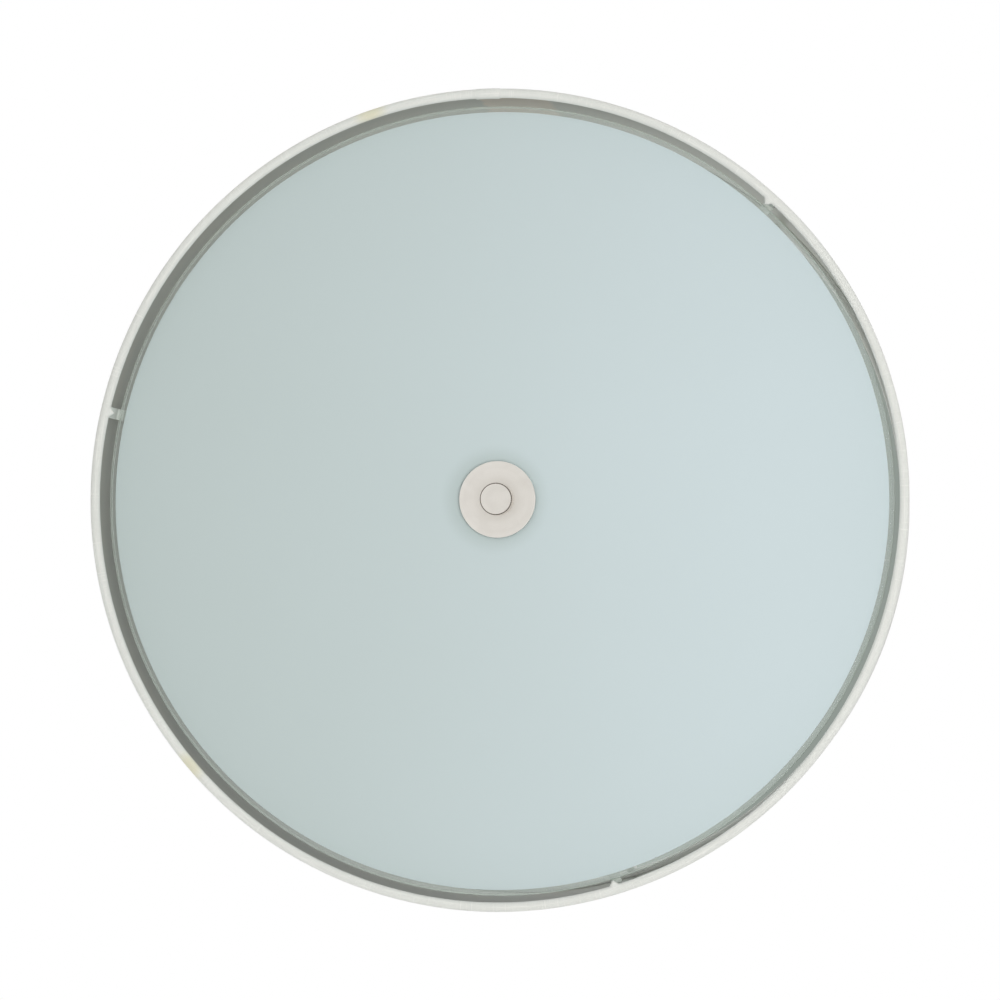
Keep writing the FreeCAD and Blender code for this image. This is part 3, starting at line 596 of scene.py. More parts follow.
def makeGlass(shape):
    edge = glassRadius - shape["bevel"]
    rim = glassRadius - shape["border"]
    outline = [(shape["hole"], glassLow), (60, glassLow), (rim, glassLow)]
    outline += arc((edge, glassLow + shape["bevel"]), shape["bevel"], 270, 360, 4)
    outline += arc((edge, glassHigh - shape["bevel"]), shape["bevel"], 0, 90, 4)
    outline += [(rim, glassHigh), (60, glassHigh), (shape["hole"], glassHigh)]
    glass = turnedPiece("diffuserDisc", outline, shape["steps"])
    dress(glass, "satin_glass", satinMaterial(glassLook), "diffuser_glass", body="diffuser")
    glass.data.materials.append(clearMaterial(glassLook))
    glass.data.materials.append(groundMaterial(glassLook))
    for face in glass.data.polygons:
        if face.center.xy.length > rim * mm:
            face.material_index = 1
        if edge * mm < face.center.xy.length < (glassRadius - 0.01) * mm:
            face.material_index = 2


nickelLook = {
    "bright": paint(236, 232, 226),
    "dull": paint(220, 215, 208),
    "roughness": (0.3, 0.38),
    "lineWidth": 0.12,
    # painted shade: the dark tone of the knob's corner
    "edge": paint(112, 104, 97),
}


def nickelMaterial(look):
    # brushed in circles round the rod
    material, tree, shader = newMaterial("brushedNickel", look["bright"], 0.3, 1.0, Anisotropic=0.5)
    here = axes(tree)
    ringPlace = addNode(tree, "CombineXYZ", {0: flatRadius(tree), 1: here[2]}).outputs[0]
    lines = noise(tree, look["lineWidth"], 3.0, 0.7, ringPlace)
    patches = noise(tree, 7, 2.0)
    colour = mixed(between(lines, 0.2, 0.6, (0.55, 1.0)), look["dull"], look["bright"])
    colour = mixed(between(patches, 0.35, 0.75, (0, 0.35)), colour, look["dull"])
    # painted shade: darker on the washer close to the knob, where the knob shades it
    paintedKnobShade = maths("MULTIPLY", between(flatRadius(tree), 8.5 * mm, 14 * mm, (0.55, 0.0)),
                 between(flatRadius(tree), 8.1 * mm, 8.3 * mm))
    feed(shader, "Base Color", mixed(paintedKnobShade, colour, look["dull"]))
    feed(shader, "Roughness", between(lines, 0.2, 0.8, look["roughness"]))
    tangent = addNode(tree, "Tangent", direction_type="RADIAL", axis="Z").outputs[0]
    feed(shader, "Tangent", tangent)
    bumpWith(shader, lines, 0.003)
    return material


def edgeMaterial(look):
    # the knob's corner painted dark: a painted reflection of its dark neck and painted shade
    material, tree, shader = newMaterial("nickelPaintedDarkEdge", look["edge"], 0.25, 0.9)
    marks = noise(tree, 0.8)
    feed(shader, "Roughness", between(marks, 0.3, 0.7, (0.2, 0.4)))
    return material


finialShape = {"bore": 4.9, "washerRound": 0.45, "knobRound": 0.5, "neckDepth": 0.35, "gap": 0.02}


def makeFinial(shape):
    washerLow, washerHigh, washerRadius = reach("check_washer")
    knobLow, _, knobRadius = reach("finial_knob")
    bore, washerRound, knobRound, neckDepth, gap = shape.values()
    neck = knobRadius - neckDepth
    nickel = nickelMaterial(nickelLook)
    outline = [(bore, washerLow + 0.2), (bore + 0.2, washerLow)]
    outline += rounding(washerRadius, washerLow, washerRound, 270, 4)
    outline += rounding(washerRadius, washerHigh, 0.2, 0, 2)
    outline += [(bore, washerHigh)]
    washer = turnedPiece("checkWasher", outline, 192)
    dress(washer, "brushed_nickel", nickel, "check_washer", body="diffuser")
    depth = knobLow + 1.2
    outline = [(0, knobLow + 0.12), (knobRadius * 0.55, knobLow + 0.05)]
    outline += rounding(knobRadius, knobLow, knobRound, 270, 5)
    outline += [(knobRadius, washerLow - 1.6), (neck, washerLow - 1.3), (neck, washerLow - gap),
                (bore + 0.5, washerLow - gap), (bore, washerLow - 0.5), (bore, depth), (0, depth)]
    knob = turnedPiece("finialKnob", outline, 128)
    dress(knob, "brushed_nickel", nickel, "finial_knob", body="finial")
    knob.data.materials.append(edgeMaterial(nickelLook))
    # the corner faces take the painted dark edge
    for face in knob.data.polygons:
        corner = face.center.xy.length > (knobRadius - knobRound * 0.9) * mm
        if corner and face.center.z < (knobLow + 1.6 * knobRound) * mm:
            face.material_index = 1


steelLook = {"bright": paint(190, 193, 193), "dull": paint(164, 168, 170), "warm": paint(184, 182, 172),
             "metallic": 0.35}
tabLook = {"bright": paint(204, 210, 203), "dull": paint(197, 203, 196), "warm": paint(201, 205, 196),
           "metallic": 0.0}


def steelMaterial(name, look):
    # zinc plating with a soft grain and a faint yellow and blue tint
    material, tree, shader = newMaterial(name, look["bright"], 0.45, look["metallic"])
    flakes = addNode(tree, "TexVoronoi", {"Vector": objectPlace(tree), "Scale": 1 / (1.6 * mm)})
    level = addNode(tree, "SeparateColor", {0: flakes.outputs["Color"]}).outputs[0]
    clouds = noise(tree, 9, 4.0)
    colour = mixed(between(level, 0.0, 1.0, (0.0, 0.45)), look["bright"], look["dull"])
    colour = mixed(between(clouds, 0.45, 0.75, (0, 0.5)), colour, look["warm"])
    feed(shader, "Base Color", colour)
    feed(shader, "Roughness", between(clouds, 0.3, 0.7, (0.32, 0.5)))
    bumpWith(shader, noise(tree, 0.5), 0.015)
    return material


def carryOver(node, material):
    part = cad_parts[node]
    part.data.materials.clear()
    part.data.materials.append(material)


linerLook = {
    # painted shade: the white styrene greyed to stand for the shade inside the drum
    "plain": paint(158, 163, 154),
    "glued": paint(186, 176, 158),
    "from": 86.5, "to": 97.5,  # degrees round the drum
    # painted light: the glow of the upper liner
    "glow": 0.26, "glowFrom": -122.0, "glowTo": -70.0,
}


def linerMaterial(look):
    # styrene painted grey as painted shade, with a browner glue strip behind the lap; painted light glows
    # higher up
    material, tree, shader = newMaterial("styreneLiner", look["plain"], 0.5, Specular_IOR_Level=0.3,
                                         Emission_Color=look["plain"])
    here = axes(tree)
    turn = maths("DEGREES", maths("ARCTAN2", here[1], here[0]))
    ragged = maths("MULTIPLY_ADD", noise(tree, 3), 2.0, -1.0)
    turn = maths("ADD", turn, ragged)
    strip = maths("MULTIPLY", between(turn, look["from"], look["from"] + 1),
                  between(turn, look["to"] - 1, look["to"], (1.0, 0.0)))
    clouds = noise(tree, 30)
    plain = mixed(between(clouds, 0.3, 0.7, (0, 0.15)), look["plain"], look["glued"])
    feed(shader, "Base Color", mixed(strip, plain, look["glued"]))
    # painted light: a glow higher up, stronger towards one side
    glow = between(here[2], look["glowFrom"] * mm, look["glowTo"] * mm, (0.0, look["glow"]))
    lit = between(here[1], -0.3 * drumRadius * mm, 0.8 * drumRadius * mm, (0.1, 1.0))
    feed(shader, "Emission Strength", maths("MULTIPLY", glow, lit))
    bumpWith(shader, noise(tree, 1.2, 2.0), 0.02)
    return material


# the plainer finishes: a light and a dark tone, the sizes of their clouds and of their grain, the
# roughness from and to, the depth of the grain, and what else they set; sizes in millimetres
finishes = {
    "whiteEnamel": ((238, 238, 233), (229, 229, 222), 45, 1.6, (0.2, 0.32), 0.004, {"Coat_Weight": 0.3}),
    "glassWool": ((222, 214, 184), (207, 196, 160), 26, 1.1, (0.85, 1.0), 0.4, {"stretch": (1, 0.25, 3)}),
    "blackNylon": ((26, 26, 27), (42, 42, 44), 8, 0.4, (0.34, 0.5), 0.012),
    "whiteEpoxy": ((236, 236, 231), (221, 221, 214), 16, 0.9, (0.28, 0.42), 0.03),
    "rivetAluminium": ((200, 202, 204), (166, 168, 172), 2.5, 0.2, (0.26, 0.42), 0.012, {"Metallic": 0.9}),
    "whiteVinyl": ((233, 233, 228), (216, 216, 209), 10, 0.5, (0.36, 0.5), 0.01),
    "blackVinyl": ((24, 24, 25), (38, 38, 41), 10, 0.5, (0.34, 0.5), 0.01),
    "yellowNylon": ((233, 192, 46), (212, 166, 26), 7, 0.4, (0.34, 0.5), 0.015),
    "porcelain": ((240, 237, 228), (225, 221, 208), 7, 0.8, (0.14, 0.24), 0.02, {"Coat_Weight": 0.6}),
    "shellAluminium": ((206, 207, 209), (174, 176, 181), 5, 0.25, (0.24, 0.38), 0.01, {"Metallic": 1.0}),
    "springBrass": ((216, 181, 100), (166, 131, 66), 2, 0.2, (0.26, 0.42), 0.012, {"Metallic": 1.0}),
    "capNickel": ((200, 198, 193), (168, 165, 159), 4, 0.25, (0.24, 0.38), 0.01, {"Metallic": 1.0}),
    "capGlass": ((20, 20, 22), (34, 33, 36), 3, 0.6, (0.1, 0.22), 0.02),
    "lampPlastic": ((240, 240, 237), (229, 229, 225), 18, 0.5, (0.34, 0.46), 0.012),
    "lampDome": ((243, 243, 239), (234, 234, 228), 14, 0.35, (0.38, 0.5), 0.008,
                 {"Transmission_Weight": 0.2}),
    "greenPaint": ((46, 126, 70), (28, 90, 48), 2, 0.3, (0.3, 0.46), 0.015, {"Metallic": 0.4}),
    "clearRubber": ((204, 210, 206), (190, 197, 192), 6, 0.5, (0.3, 0.45), 0.01,
                    {"Transmission_Weight": 0.6}),
}


def finishMaterial(name):
    light, dark, cloudSize, grainSize, gloss, bump, *more = finishes[name]
    light, dark = paint(*light), paint(*dark)
    sockets = dict(*more)
    stretch = sockets.pop("stretch", (1, 1, 1))
    material, tree, shader = newMaterial(name, light, gloss[0], **sockets)
    clouds = noise(tree, cloudSize, 4.0, 0.6)
    grain = noise(tree, grainSize, 3.0, 0.6, objectPlace(tree, stretch))
    tone = mixed(between(clouds, 0.35, 0.7), light, dark)
    feed(shader, "Base Color", mixed(between(grain, 0.55, 0.85, (0, 0.5)), tone, dark))
    feed(shader, "Roughness", between(grain, 0.3, 0.7, gloss))
    bumpWith(shader, grain, bump)
    return material


def carve(piece, cutter, operation="DIFFERENCE"):
    applyModifier(piece, "BOOLEAN", object=cutter, operation=operation, solver="EXACT")
    bpy.data.objects.remove(cutter)


def cutSlot(piece, place, size, turn=(0, 0, 0)):
    # a straight slot, its middle and its size in millimetres, turned by so many degrees
    bpy.ops.mesh.primitive_cube_add(size=mm, location=[value * mm for value in place], scale=size,
                                    rotation=[math.radians(angle) for angle in turn])
    carve(piece, bpy.context.object)


def plug(name, radius, low, high, x=0.0, y=0.0, steps=32):
    # a round cutter that stands on end at that place
    bpy.ops.mesh.primitive_cylinder_add(vertices=steps, radius=radius * mm, depth=(high - low) * mm,
                                        location=(x * mm, y * mm, (high + low) / 2 * mm))
    bpy.context.object.name = name
    bpy.ops.object.transform_apply()
    return bpy.context.object


def traced(node, name):
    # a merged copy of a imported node, its flat faces whole again
    takeUp(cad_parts[node])
    bpy.ops.object.duplicate(linked=False)
    piece = bpy.context.object
    piece.name = name
    piece.parent = None
    for mark in list(piece.keys()):
        del piece[mark]
    bpy.ops.mesh.customdata_custom_splitnormals_clear()
    editAll()
    bpy.ops.mesh.remove_doubles(threshold=0.002 * mm)
    bpy.ops.mesh.dissolve_limited(angle_limit=math.radians(0.5))
    closeUp(merge=None)
    return piece


def roundedRoute(points, bend, steps=8):
    # straight runs, their corners turned into arcs of that radius, or less between short runs
    route = [Vector(points[0])]
    for before, corner, after in zip(points, points[1:], points[2:]):
        corner = Vector(corner)
        back, ahead = Vector(before) - corner, Vector(after) - corner
        halfTurn = (math.pi - back.angle(ahead)) / 2
        run = min(bend * math.tan(halfTurn), 0.45 * min(back.length, ahead.length))
        middle = corner + (back.normalized() + ahead.normalized()).normalized() * run / math.sin(halfTurn)
        start = corner + back.normalized() * run - middle
        axis = start.cross(corner + ahead.normalized() * run - middle)
        for step in range(steps + 1):
            route.append(middle + Matrix.Rotation(2 * halfTurn * step / steps, 3, axis) @ start)
    return route + [Vector(points[-1])]


def bentWire(name, points, bend, thick, sides=4):
    # a round wire or lead along the rounded route
    piece = drawLine(name, [place * mm for place in roundedRoute(points, bend)])
    bpy.ops.object.mode_set(mode="OBJECT")
    bpy.ops.object.convert(target="CURVE")
    piece = bpy.context.object
    piece.data.bevel_depth = thick * mm
    piece.data.bevel_resolution = sides
    piece.data.use_fill_caps = True
    bpy.ops.object.convert(target="MESH")
    piece = bpy.context.object
    closeUp()
    smoothByAngle(piece, 50)
    return piece


def bentStrip(name, corners, bend, width, thick):
    # a strip of sheet metal bent along its middle line, which runs in the XZ plane
    route = roundedRoute([(x, -width / 2, z) for x, z in corners], bend, 6)
    piece = drawLine(name, [place * mm for place in route])
    editAll()
    bpy.ops.mesh.extrude_edges_move(TRANSFORM_OT_translate={"value": (0, width * mm, 0)})
    applyModifier(piece, "SOLIDIFY", thickness=thick * mm, offset=0)
    softenEdges(piece, thick * 0.15, 2, 50)
    return piece


def cutAt(piece, height, keepAbove, fill):
    takeUp(piece)
    editAll()
    bpy.ops.mesh.bisect(plane_co=(0, 0, height * mm), plane_no=(0, 0, 1), use_fill=fill,
                        clear_inner=keepAbove, clear_outer=not keepAbove)
    bpy.ops.object.mode_set(mode="OBJECT")


def threaded(name, tooth, pitch, low, high, solid, steps=32):
    # one tooth, given by its radii from root to root, wound up round Z and cut off square
    outline = [(radius, low - pitch + pitch * step / (len(tooth) - 1)) for step, radius in enumerate(tooth)]
    piece = drawOutline(name, outline)
    applyModifier(piece, "SCREW", axis="Z", angle=2 * math.pi, screw_offset=pitch * mm, steps=steps,
                  render_steps=steps, iterations=math.ceil((high - low) / pitch) + 2, use_merge_vertices=True,
                  merge_threshold=0.01 * mm)
    cutAt(piece, low, True, solid)
    cutAt(piece, high, False, solid)
    closeUp(merge=None)
    smoothByAngle(piece, 50)
    return piece


hardware = {
    "rodPitch": 25.4 / 27,
    "rodDepth": 0.5,
    "nutChamfer": 0.7,
    "pan": {"flat": 57.0, "bead": 5.0, "beadRise": 1.4, "corner": 4.0, "taper": 4.0, "rim": 2.0},
    "bushing": {"at": 21.5, "bore": 7.0, "neck": 8.5},
}


def makeRod(steel):
    low, high, radius = reach("centre_rod")
    root = radius - hardware["rodDepth"]
    tooth = (root, root, radius, radius, root)
    rod = threaded("threadedRod", tooth, hardware["rodPitch"], low, high, True, 24)
    dress(rod, "zinc_steel", steel, "centre_rod")


def makeNut(node, name, steel):
    low, high, corner = reach(node)
    flat = corner * math.cos(math.pi / 6)
    chamfer = hardware["nutChamfer"]
    bpy.ops.mesh.primitive_cylinder_add(vertices=6, radius=corner * mm, depth=(high - low) * mm,
                                        location=(0, 0, (low + high) / 2 * mm), rotation=(0, 0, math.pi / 2))
    nut = bpy.context.object
    nut.name = name
    bpy.ops.object.transform_apply()
    dome = [(0, low), (flat - 0.2, low), (corner + 0.2, low + chamfer), (corner + 0.2, high - chamfer),
            (flat - 0.2, high), (0, high)]
    carve(nut, turnedPiece("nutDome", dome), "INTERSECT")
    thread = [(0, low - 1), (rodRadius + 1.4, low - 1), (rodRadius, low + 0.5), (rodRadius, high - 0.5),
              (rodRadius + 1.4, high + 1), (0, high + 1)]
    carve(nut, turnedPiece("nutBore", thread, 64))
    softenEdges(nut, 0.1, 1, 40)
    dress(nut, "zinc_steel", steel, node)


def makeLockWasher(steel):
    # split and slightly opened, as a spring washer is
    low, high, outer = reach("lock_washer")
    ring = turnedPiece("lockWasher", [(rodRadius, low), (outer - 0.15, low), (outer, low + 0.15),
                                      (outer, high - 0.15), (outer - 0.15, high), (rodRadius, high)])
    cutSlot(ring, (0.7 * outer, 0, (low + high) / 2), (outer, 0.5, 4), (30, 0, 0))
    smoothByAngle(ring)
    dress(ring, "zinc_steel", steel, "lock_washer")


def makeStrap(steel):
    strap = traced("mounting_strap", "mountingStrap")
    softenEdges(strap, 0.25)
    dress(strap, "zinc_steel", steel, "mounting_strap")


def makeGroundScrew(green):
    # a green hexagon head with its own washer and a slot, screwed up through the strap
    low, high = reach("ground_screw")[:2]
    strapLow = reach("mounting_strap")[0]
    near, far = (corner.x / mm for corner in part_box("ground_screw"))
    centre = (near + far) / 2
    radius = (far - near) / 2
    shank = radius / 2
    hexagon = plug("groundScrew", radius * 0.92, low, strapLow - 0.7, steps=6)
    dome = [(0, low), (radius * 0.72, low), (radius, low + 0.6), (radius, strapLow), (0, strapLow)]
    carve(hexagon, turnedPiece("screwDome", dome), "INTERSECT")
    cutSlot(hexagon, (0, 0, low), (2.4 * radius, 1.0, 1.6))
    softenEdges(hexagon, 0.1, 1, 40)
    flange = turnedPiece("screwFlange", [(0, strapLow - 0.9), (radius - 0.3, strapLow - 0.8),
                                         (radius, strapLow - 0.5), (radius, strapLow), (0, strapLow)])
    thread = threaded("screwThread", (shank - 0.35, shank, shank - 0.35), 0.8, strapLow - 0.2, high, True, 20)
    screw = joined([hexagon, flange, thread], "groundScrew")
    settle(screw, Matrix.Translation((centre * mm, 0, 0)))
    dress(screw, "green_screw", green, "ground_screw")


def bushingPlace(lamp):
    return onLampAxis(lamp, 0) @ Vector((0, 0, hardware["bushing"]["at"] * mm))


def makePan(enamel):
    # pressed from sheet with a round bead, a soft corner and a rim that is folded in
    shape = hardware["pan"]
    low, high, rim = reach("ceiling_pan")
    sheet = reach("insulation_pad")[0] - low
    floorEdge = rim - shape["taper"]
    middle = shape["flat"] + shape["bead"]
    outline = [(rodRadius, low), (30, low)]
    rise = shape["beadRise"]
    outline += [(middle + shape["bead"] * step / 4, low + rise * math.cos(math.pi * step / 8) ** 2)
                for step in range(-4, 5)]
    corner = shape["corner"]
    outline += [(100, low)] + arc((floorEdge - corner, low + corner), corner, 270, 351, 6)
    outline += [(rim - 0.2, high - 0.9)] + rounding(rim, high, 0.9, 0, 4)
    outline += [(rim - shape["rim"], high), (rim - shape["rim"] - 0.4, high - 1.2)]
    pan = drawOutline("ceilingPan", outline)
    spinAll(192)
    applyModifier(pan, "SOLIDIFY", thickness=sheet * mm, offset=-1)
    for lamp in lamps:
        place = bushingPlace(lamp) / mm
        carve(pan, plug("hole", hardware["bushing"]["neck"], low - 5, low + 5, place.x, place.y, 48))
    smoothByAngle(pan, 40)
    dress(pan, "white_enamel", enamel, "ceiling_pan")


def makeBushings(black):
    low, high = reach("wire_bushings")[:2]
    panLow = reach("ceiling_pan")[0]
    bore, neck = hardware["bushing"]["bore"], hardware["bushing"]["neck"]
    panFloor = reach("insulation_pad")[0]
    outline = [(bore + 0.4, low)] + arc((neck + 1.1, low + 0.4), 0.4, 270, 360, 3) + [(neck + 1.5, panLow)]
    outline += [(neck, panLow), (neck, panFloor), (neck + 0.7, panFloor + 0.1), (neck + 0.1, high - 0.1)]
    outline += [(bore + 0.5, high), (bore, high - 0.5), (bore, low + 0.4)]
    bushing = turnedPiece("wireBushings", outline, 64)
    bushings = spread(bushing, [Matrix.Translation(bushingPlace(lamp).xy.to_3d()) for lamp in lamps])
    dress(bushings, "black_plastic", black, "wire_bushings")


woolShape = {"inner": 70.0, "steps": 240, "rows": 16, "ragged": 0.9, "blob": 7.0}


def makeWool(wool, shape):
    # a ring cut from pressed glass fibre, a little ragged all over
    low, high, outer = reach("insulation_pad")
    inner = shape["inner"]
    across = [inner + 1 + (outer - inner - 2) * row / shape["rows"] for row in range(shape["rows"] + 1)]
    outline = [(inner, low + 0.2)] + [(radius, low) for radius in across] + [(outer - 0.5, (low + high) / 2)]
    outline += [(radius, high - 0.6) for radius in reversed(across)] + [(inner, high - 1.5)]
    pad = turnedPiece("glassWoolPad", outline, shape["steps"], smooth=60)
    for vertex in pad.data.vertices:
        push = hills.noise(vertex.co / (shape["blob"] * mm)) + 0.5 * hills.noise(vertex.co / (2 * mm))
        if vertex.co.z > (low + 0.5) * mm:
            vertex.co.z += push * 0.55 * shape["ragged"] * mm
        side = vertex.co.xy.length < (inner + 0.5) * mm or vertex.co.xy.length > (outer - 0.8) * mm
        if side:
            vertex.co.xy *= 1 - (abs(push) * shape["ragged"] * mm) / vertex.co.xy.length
    dress(pad, "insulation_wool", wool, "insulation_pad")


spiderShape = {"wire": 2.0, "hub": 17.0, "bend": 12.0, "weld": (2.6, 0.9, 0.9)}


def makeSpider(epoxy, shape):
    # a pressed hub and three wires that bend up to the top ring, where they are welded
    low, high = reach("shade_spider")[:2]
    wire, hub = shape["wire"], shape["hub"]
    middle = low + wire
    hubLow, hubHigh = middle - 1, middle + 1
    riser = ringRadius - wireRadius - wire + 0.3
    outline = [(rodRadius, hubLow), (hub - 0.5, hubLow)] + rounding(hub, hubLow, 0.5, 270, 3)
    outline += rounding(hub, hubHigh, 0.5, 0, 3) + [(rodRadius, hubHigh)]
    parts = [turnedPiece("shadeSpider", outline, 96)]
    for arm in range(3):
        angle = aboutZ(firstArm + 120 * arm)
        points = [(hub - 2 * wire, 0, middle), (riser, 0, middle), (riser, 0, high)]
        parts.append(bentWire("arm", points, shape["bend"], wire, 6))
        settle(parts[-1], angle)
        for side in (-1, 1):
            # the weld runs down each side of the wire, on the hub
            weld = Vector((hub - 1.4, side * wire * 0.8, hubHigh)) * mm
            bpy.ops.mesh.primitive_uv_sphere_add(segments=16, ring_count=8, radius=mm,
                                                 scale=shape["weld"], location=weld)
            settle(bpy.context.object, angle @ bpy.context.object.matrix_basis)
            smoothByAngle(bpy.context.object, 80)
            parts.append(bpy.context.object)
    dress(joined(parts, "shadeSpider"), "white_wire", epoxy, "shade_spider")


tabShape = {"thick": 1.2, "width": 5.5, "bend": 1.6, "foot": 10}


def makeTabs(steel, shape):
    # bent strips welded to the bottom ring; the glass is drawn up against their feet
    low, high = reach("diffuser_tabs")[:2]
    thick, width, bend, foot = shape.values()
    back = ringRadius - wireRadius + 0.3 - thick / 2
    top = high - thick / 2
    tab = bentStrip("glassTabs", [(back, low), (back, top), (glassRadius - foot, top)], bend, width, thick)
    tabs = spread(tab, [aboutZ(firstArm + 120 * arm) for arm in range(3)])
    dress(tabs, "zinc_steel", steel, "diffuser_tabs")


holder = {
    "height": -66.0,
    "bracketAt": 33.4, "bracketThick": 1.2, "bracketWidth": 8.0, "footEnd": 50.0,
    "rivets": (38.5, 45.5), "rivetHead": 3.0,
    "leadSpread": 5.5, "leadRadius": 1.1,
    "screwHead": 3.5,
    "grooves": (0.3, 0.42),
    "threadPitch": 25.4 / 7,
}


def lampReach(node):
    # where a node of the first lampholder starts and ends along its axis, and its radius
    inward = onLampAxis(1, holder["height"]).inverted()
    points = [inward @ vertex.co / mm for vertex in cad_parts[node].data.vertices]
    along = [point.z for point in points]
    return min(along), max(along), max(point.xy.length for point in points)


def pressedThread(name, middle, depth, low, high):
    # a sleeve of thin sheet with a round thread pressed into it
    wave = [middle - depth * math.cos(math.pi * step / 4) for step in range(9)]
    sleeve = threaded(name, wave, holder["threadPitch"], low, high, False, 48)
    applyModifier(sleeve, "SOLIDIFY", thickness=0.3 * mm, offset=-1)
    return sleeve


def onEachLamp(piece, name, body, slot, material, node, *others):
    # the piece that was modelled on +Z goes onto each lampholder's axis; a * stands for its number
    for lamp in lamps:
        one = copied(piece, name + str(lamp))
        settle(one, onLampAxis(lamp, holder["height"]))
        slots = [face.material_index for face in one.data.polygons]
        dress(one, slot, material, node.replace("*", str(lamp)), body=body.replace("*", str(lamp)))
        for other in others:
            one.data.materials.append(other)
        for face, index in zip(one.data.polygons, slots):
            face.material_index = index
    bpy.data.objects.remove(piece)


def makeBrackets(steel, aluminium):
    low, high = reach("socket_bracket_1")[:2]
    at = holder["bracketAt"]
    thick = holder["bracketThick"]
    corners = [(at, low), (at, high - thick / 2), (holder["footEnd"], high - thick / 2)]
    for lamp in lamps:
        strip = bentStrip("socketBracket" + str(lamp), corners, 1.5, holder["bracketWidth"], thick)
        settle(strip, towards(lamp))
        dress(strip, "zinc_steel", steel, f"socket_bracket_{lamp}")
    rivetLow, rivetHigh = reach("bracket_rivets")[:2]
    head = holder["rivetHead"]
    grip = high - thick
    outline = [(0, rivetLow), (head * 0.5, rivetLow + 0.12), (head * 0.85, rivetLow + 0.45),
               (head, grip - 0.15), (head, grip), (1.6, grip), (1.6, rivetHigh - 1), (2.1, rivetHigh - 0.9),
               (2.0, rivetHigh - 0.3), (1.2, rivetHigh), (0.7, rivetHigh - 0.5), (0, rivetHigh - 0.5)]
    places = [Matrix.Translation(towards(lamp) @ Vector((out * mm, 0, 0))) for lamp in lamps
              for out in holder["rivets"]]
    rivets = spread(turnedPiece("bracketRivets", outline, 32), places)
    dress(rivets, "aluminium_rivet", aluminium, "bracket_rivets")


def makeHolders(porcelain, aluminium, brass, steel):
    back, mouth, radius = lampReach("socket_body_1")
    shellLow, shellHigh, shell = lampReach("socket_shell_1")
    bore = shell + 0.3
    floor = shellLow - 1.5
    outline = [(0, back + 5.2), (1.9, back + 5.2), (1.9, back), (radius - 2, back)]
    outline += rounding(radius, back, 2, 270, 5)
    for share in holder["grooves"]:
        groove = back + (mouth - back) * share
        outline += [(radius, groove - 1.2), (radius - 0.7, groove - 0.6), (radius - 0.7, groove + 0.6),
                    (radius, groove + 1.2)]
    outline += rounding(radius, mouth, 1.4, 0, 5)
    outline += rounding(bore, mouth, 0.6, 90, 3)
    outline += [(bore, floor + 1)] + arc((bore - 1, floor + 1), 1, 0, -90, 3) + [(0, floor)]
    body = turnedPiece("socketBody", outline, 96)
    for side in (-1, 1):
        lead = side * holder["leadSpread"]
        carve(body, plug("leadHole", holder["leadRadius"] + 0.2, back - 1, back + 4.2, 0, lead))
    smoothByAngle(body)
    onEachLamp(body, "socketBody", "fixture", "porcelain", porcelain, "socket_body_*")

    skin = pressedThread("socketShell", shell - 0.225, 0.175, shellLow + 1.5, shellHigh - 0.8)
    outline = [(shell * 0.5, shellLow)] + rounding(shell, shellLow, 1, 270, 4)
    outline += [(shell, shellLow + 1.8), (shell - 0.5, shellLow + 1.8), (shell - 0.5, shellLow + 0.6),
                (shell * 0.5, shellLow + 0.5)]
    cup = turnedPiece("shellFloor", outline, 64)
    outline = [(shell - 0.5, shellHigh - 1), (shell, shellHigh - 1), (shell, shellHigh - 0.2),
               (shell - 0.25, shellHigh), (shell - 0.5, shellHigh - 0.2)]
    collar = turnedPiece("shellCollar", outline, 64)
    whole = joined([skin, cup, collar], "socketShell")
    onEachLamp(whole, "socketShell", "fixture", "aluminium_shell", aluminium, "socket_shell_*")

    low, high, wide = lampReach("socket_contact_1")
    outline = [(0, low), (wide - 0.2, low), (wide, low + 0.2), (wide, low + 0.8), (wide - 0.3, low + 1),
               (3, low + 1)]
    outline += arc((2.2, high - 0.8), 0.8, 0, 90, 4) + [(0, high)]
    contact = turnedPiece("socketContact", outline, 48)
    onEachLamp(contact, "socketContact", "fixture", "brass_contact", brass, "socket_contact_*")

    # a round head with a cross in it, on the inner side of each bracket
    bracket = holder["bracketAt"] - holder["bracketThick"] / 2
    head = holder["screwHead"]
    outline = [(0, bracket - 2.5), (head * 0.55, bracket - 2.35), (head * 0.85, bracket - 1.7),
               (head, bracket - 0.6), (head, bracket), (1.9, bracket), (1.9, back + 5), (0, back + 5)]
    screw = turnedPiece("socketScrews", outline, 48)
    for turn in (0, 90):
        cutSlot(screw, (0, 0, bracket - 2.5), (3.6, 0.8, 2.4), (0, 0, turn))
    smoothByAngle(screw)
    screws = spread(screw, [onLampAxis(lamp, holder["height"]) for lamp in lamps])
    dress(screws, "zinc_steel", steel, "socket_screws")


bulb = {"capDepth": 0.9, "foot": 15.5, "waist": 17.0, "waistRise": 6.0, "wall": 1.5, "flare": 90.0}


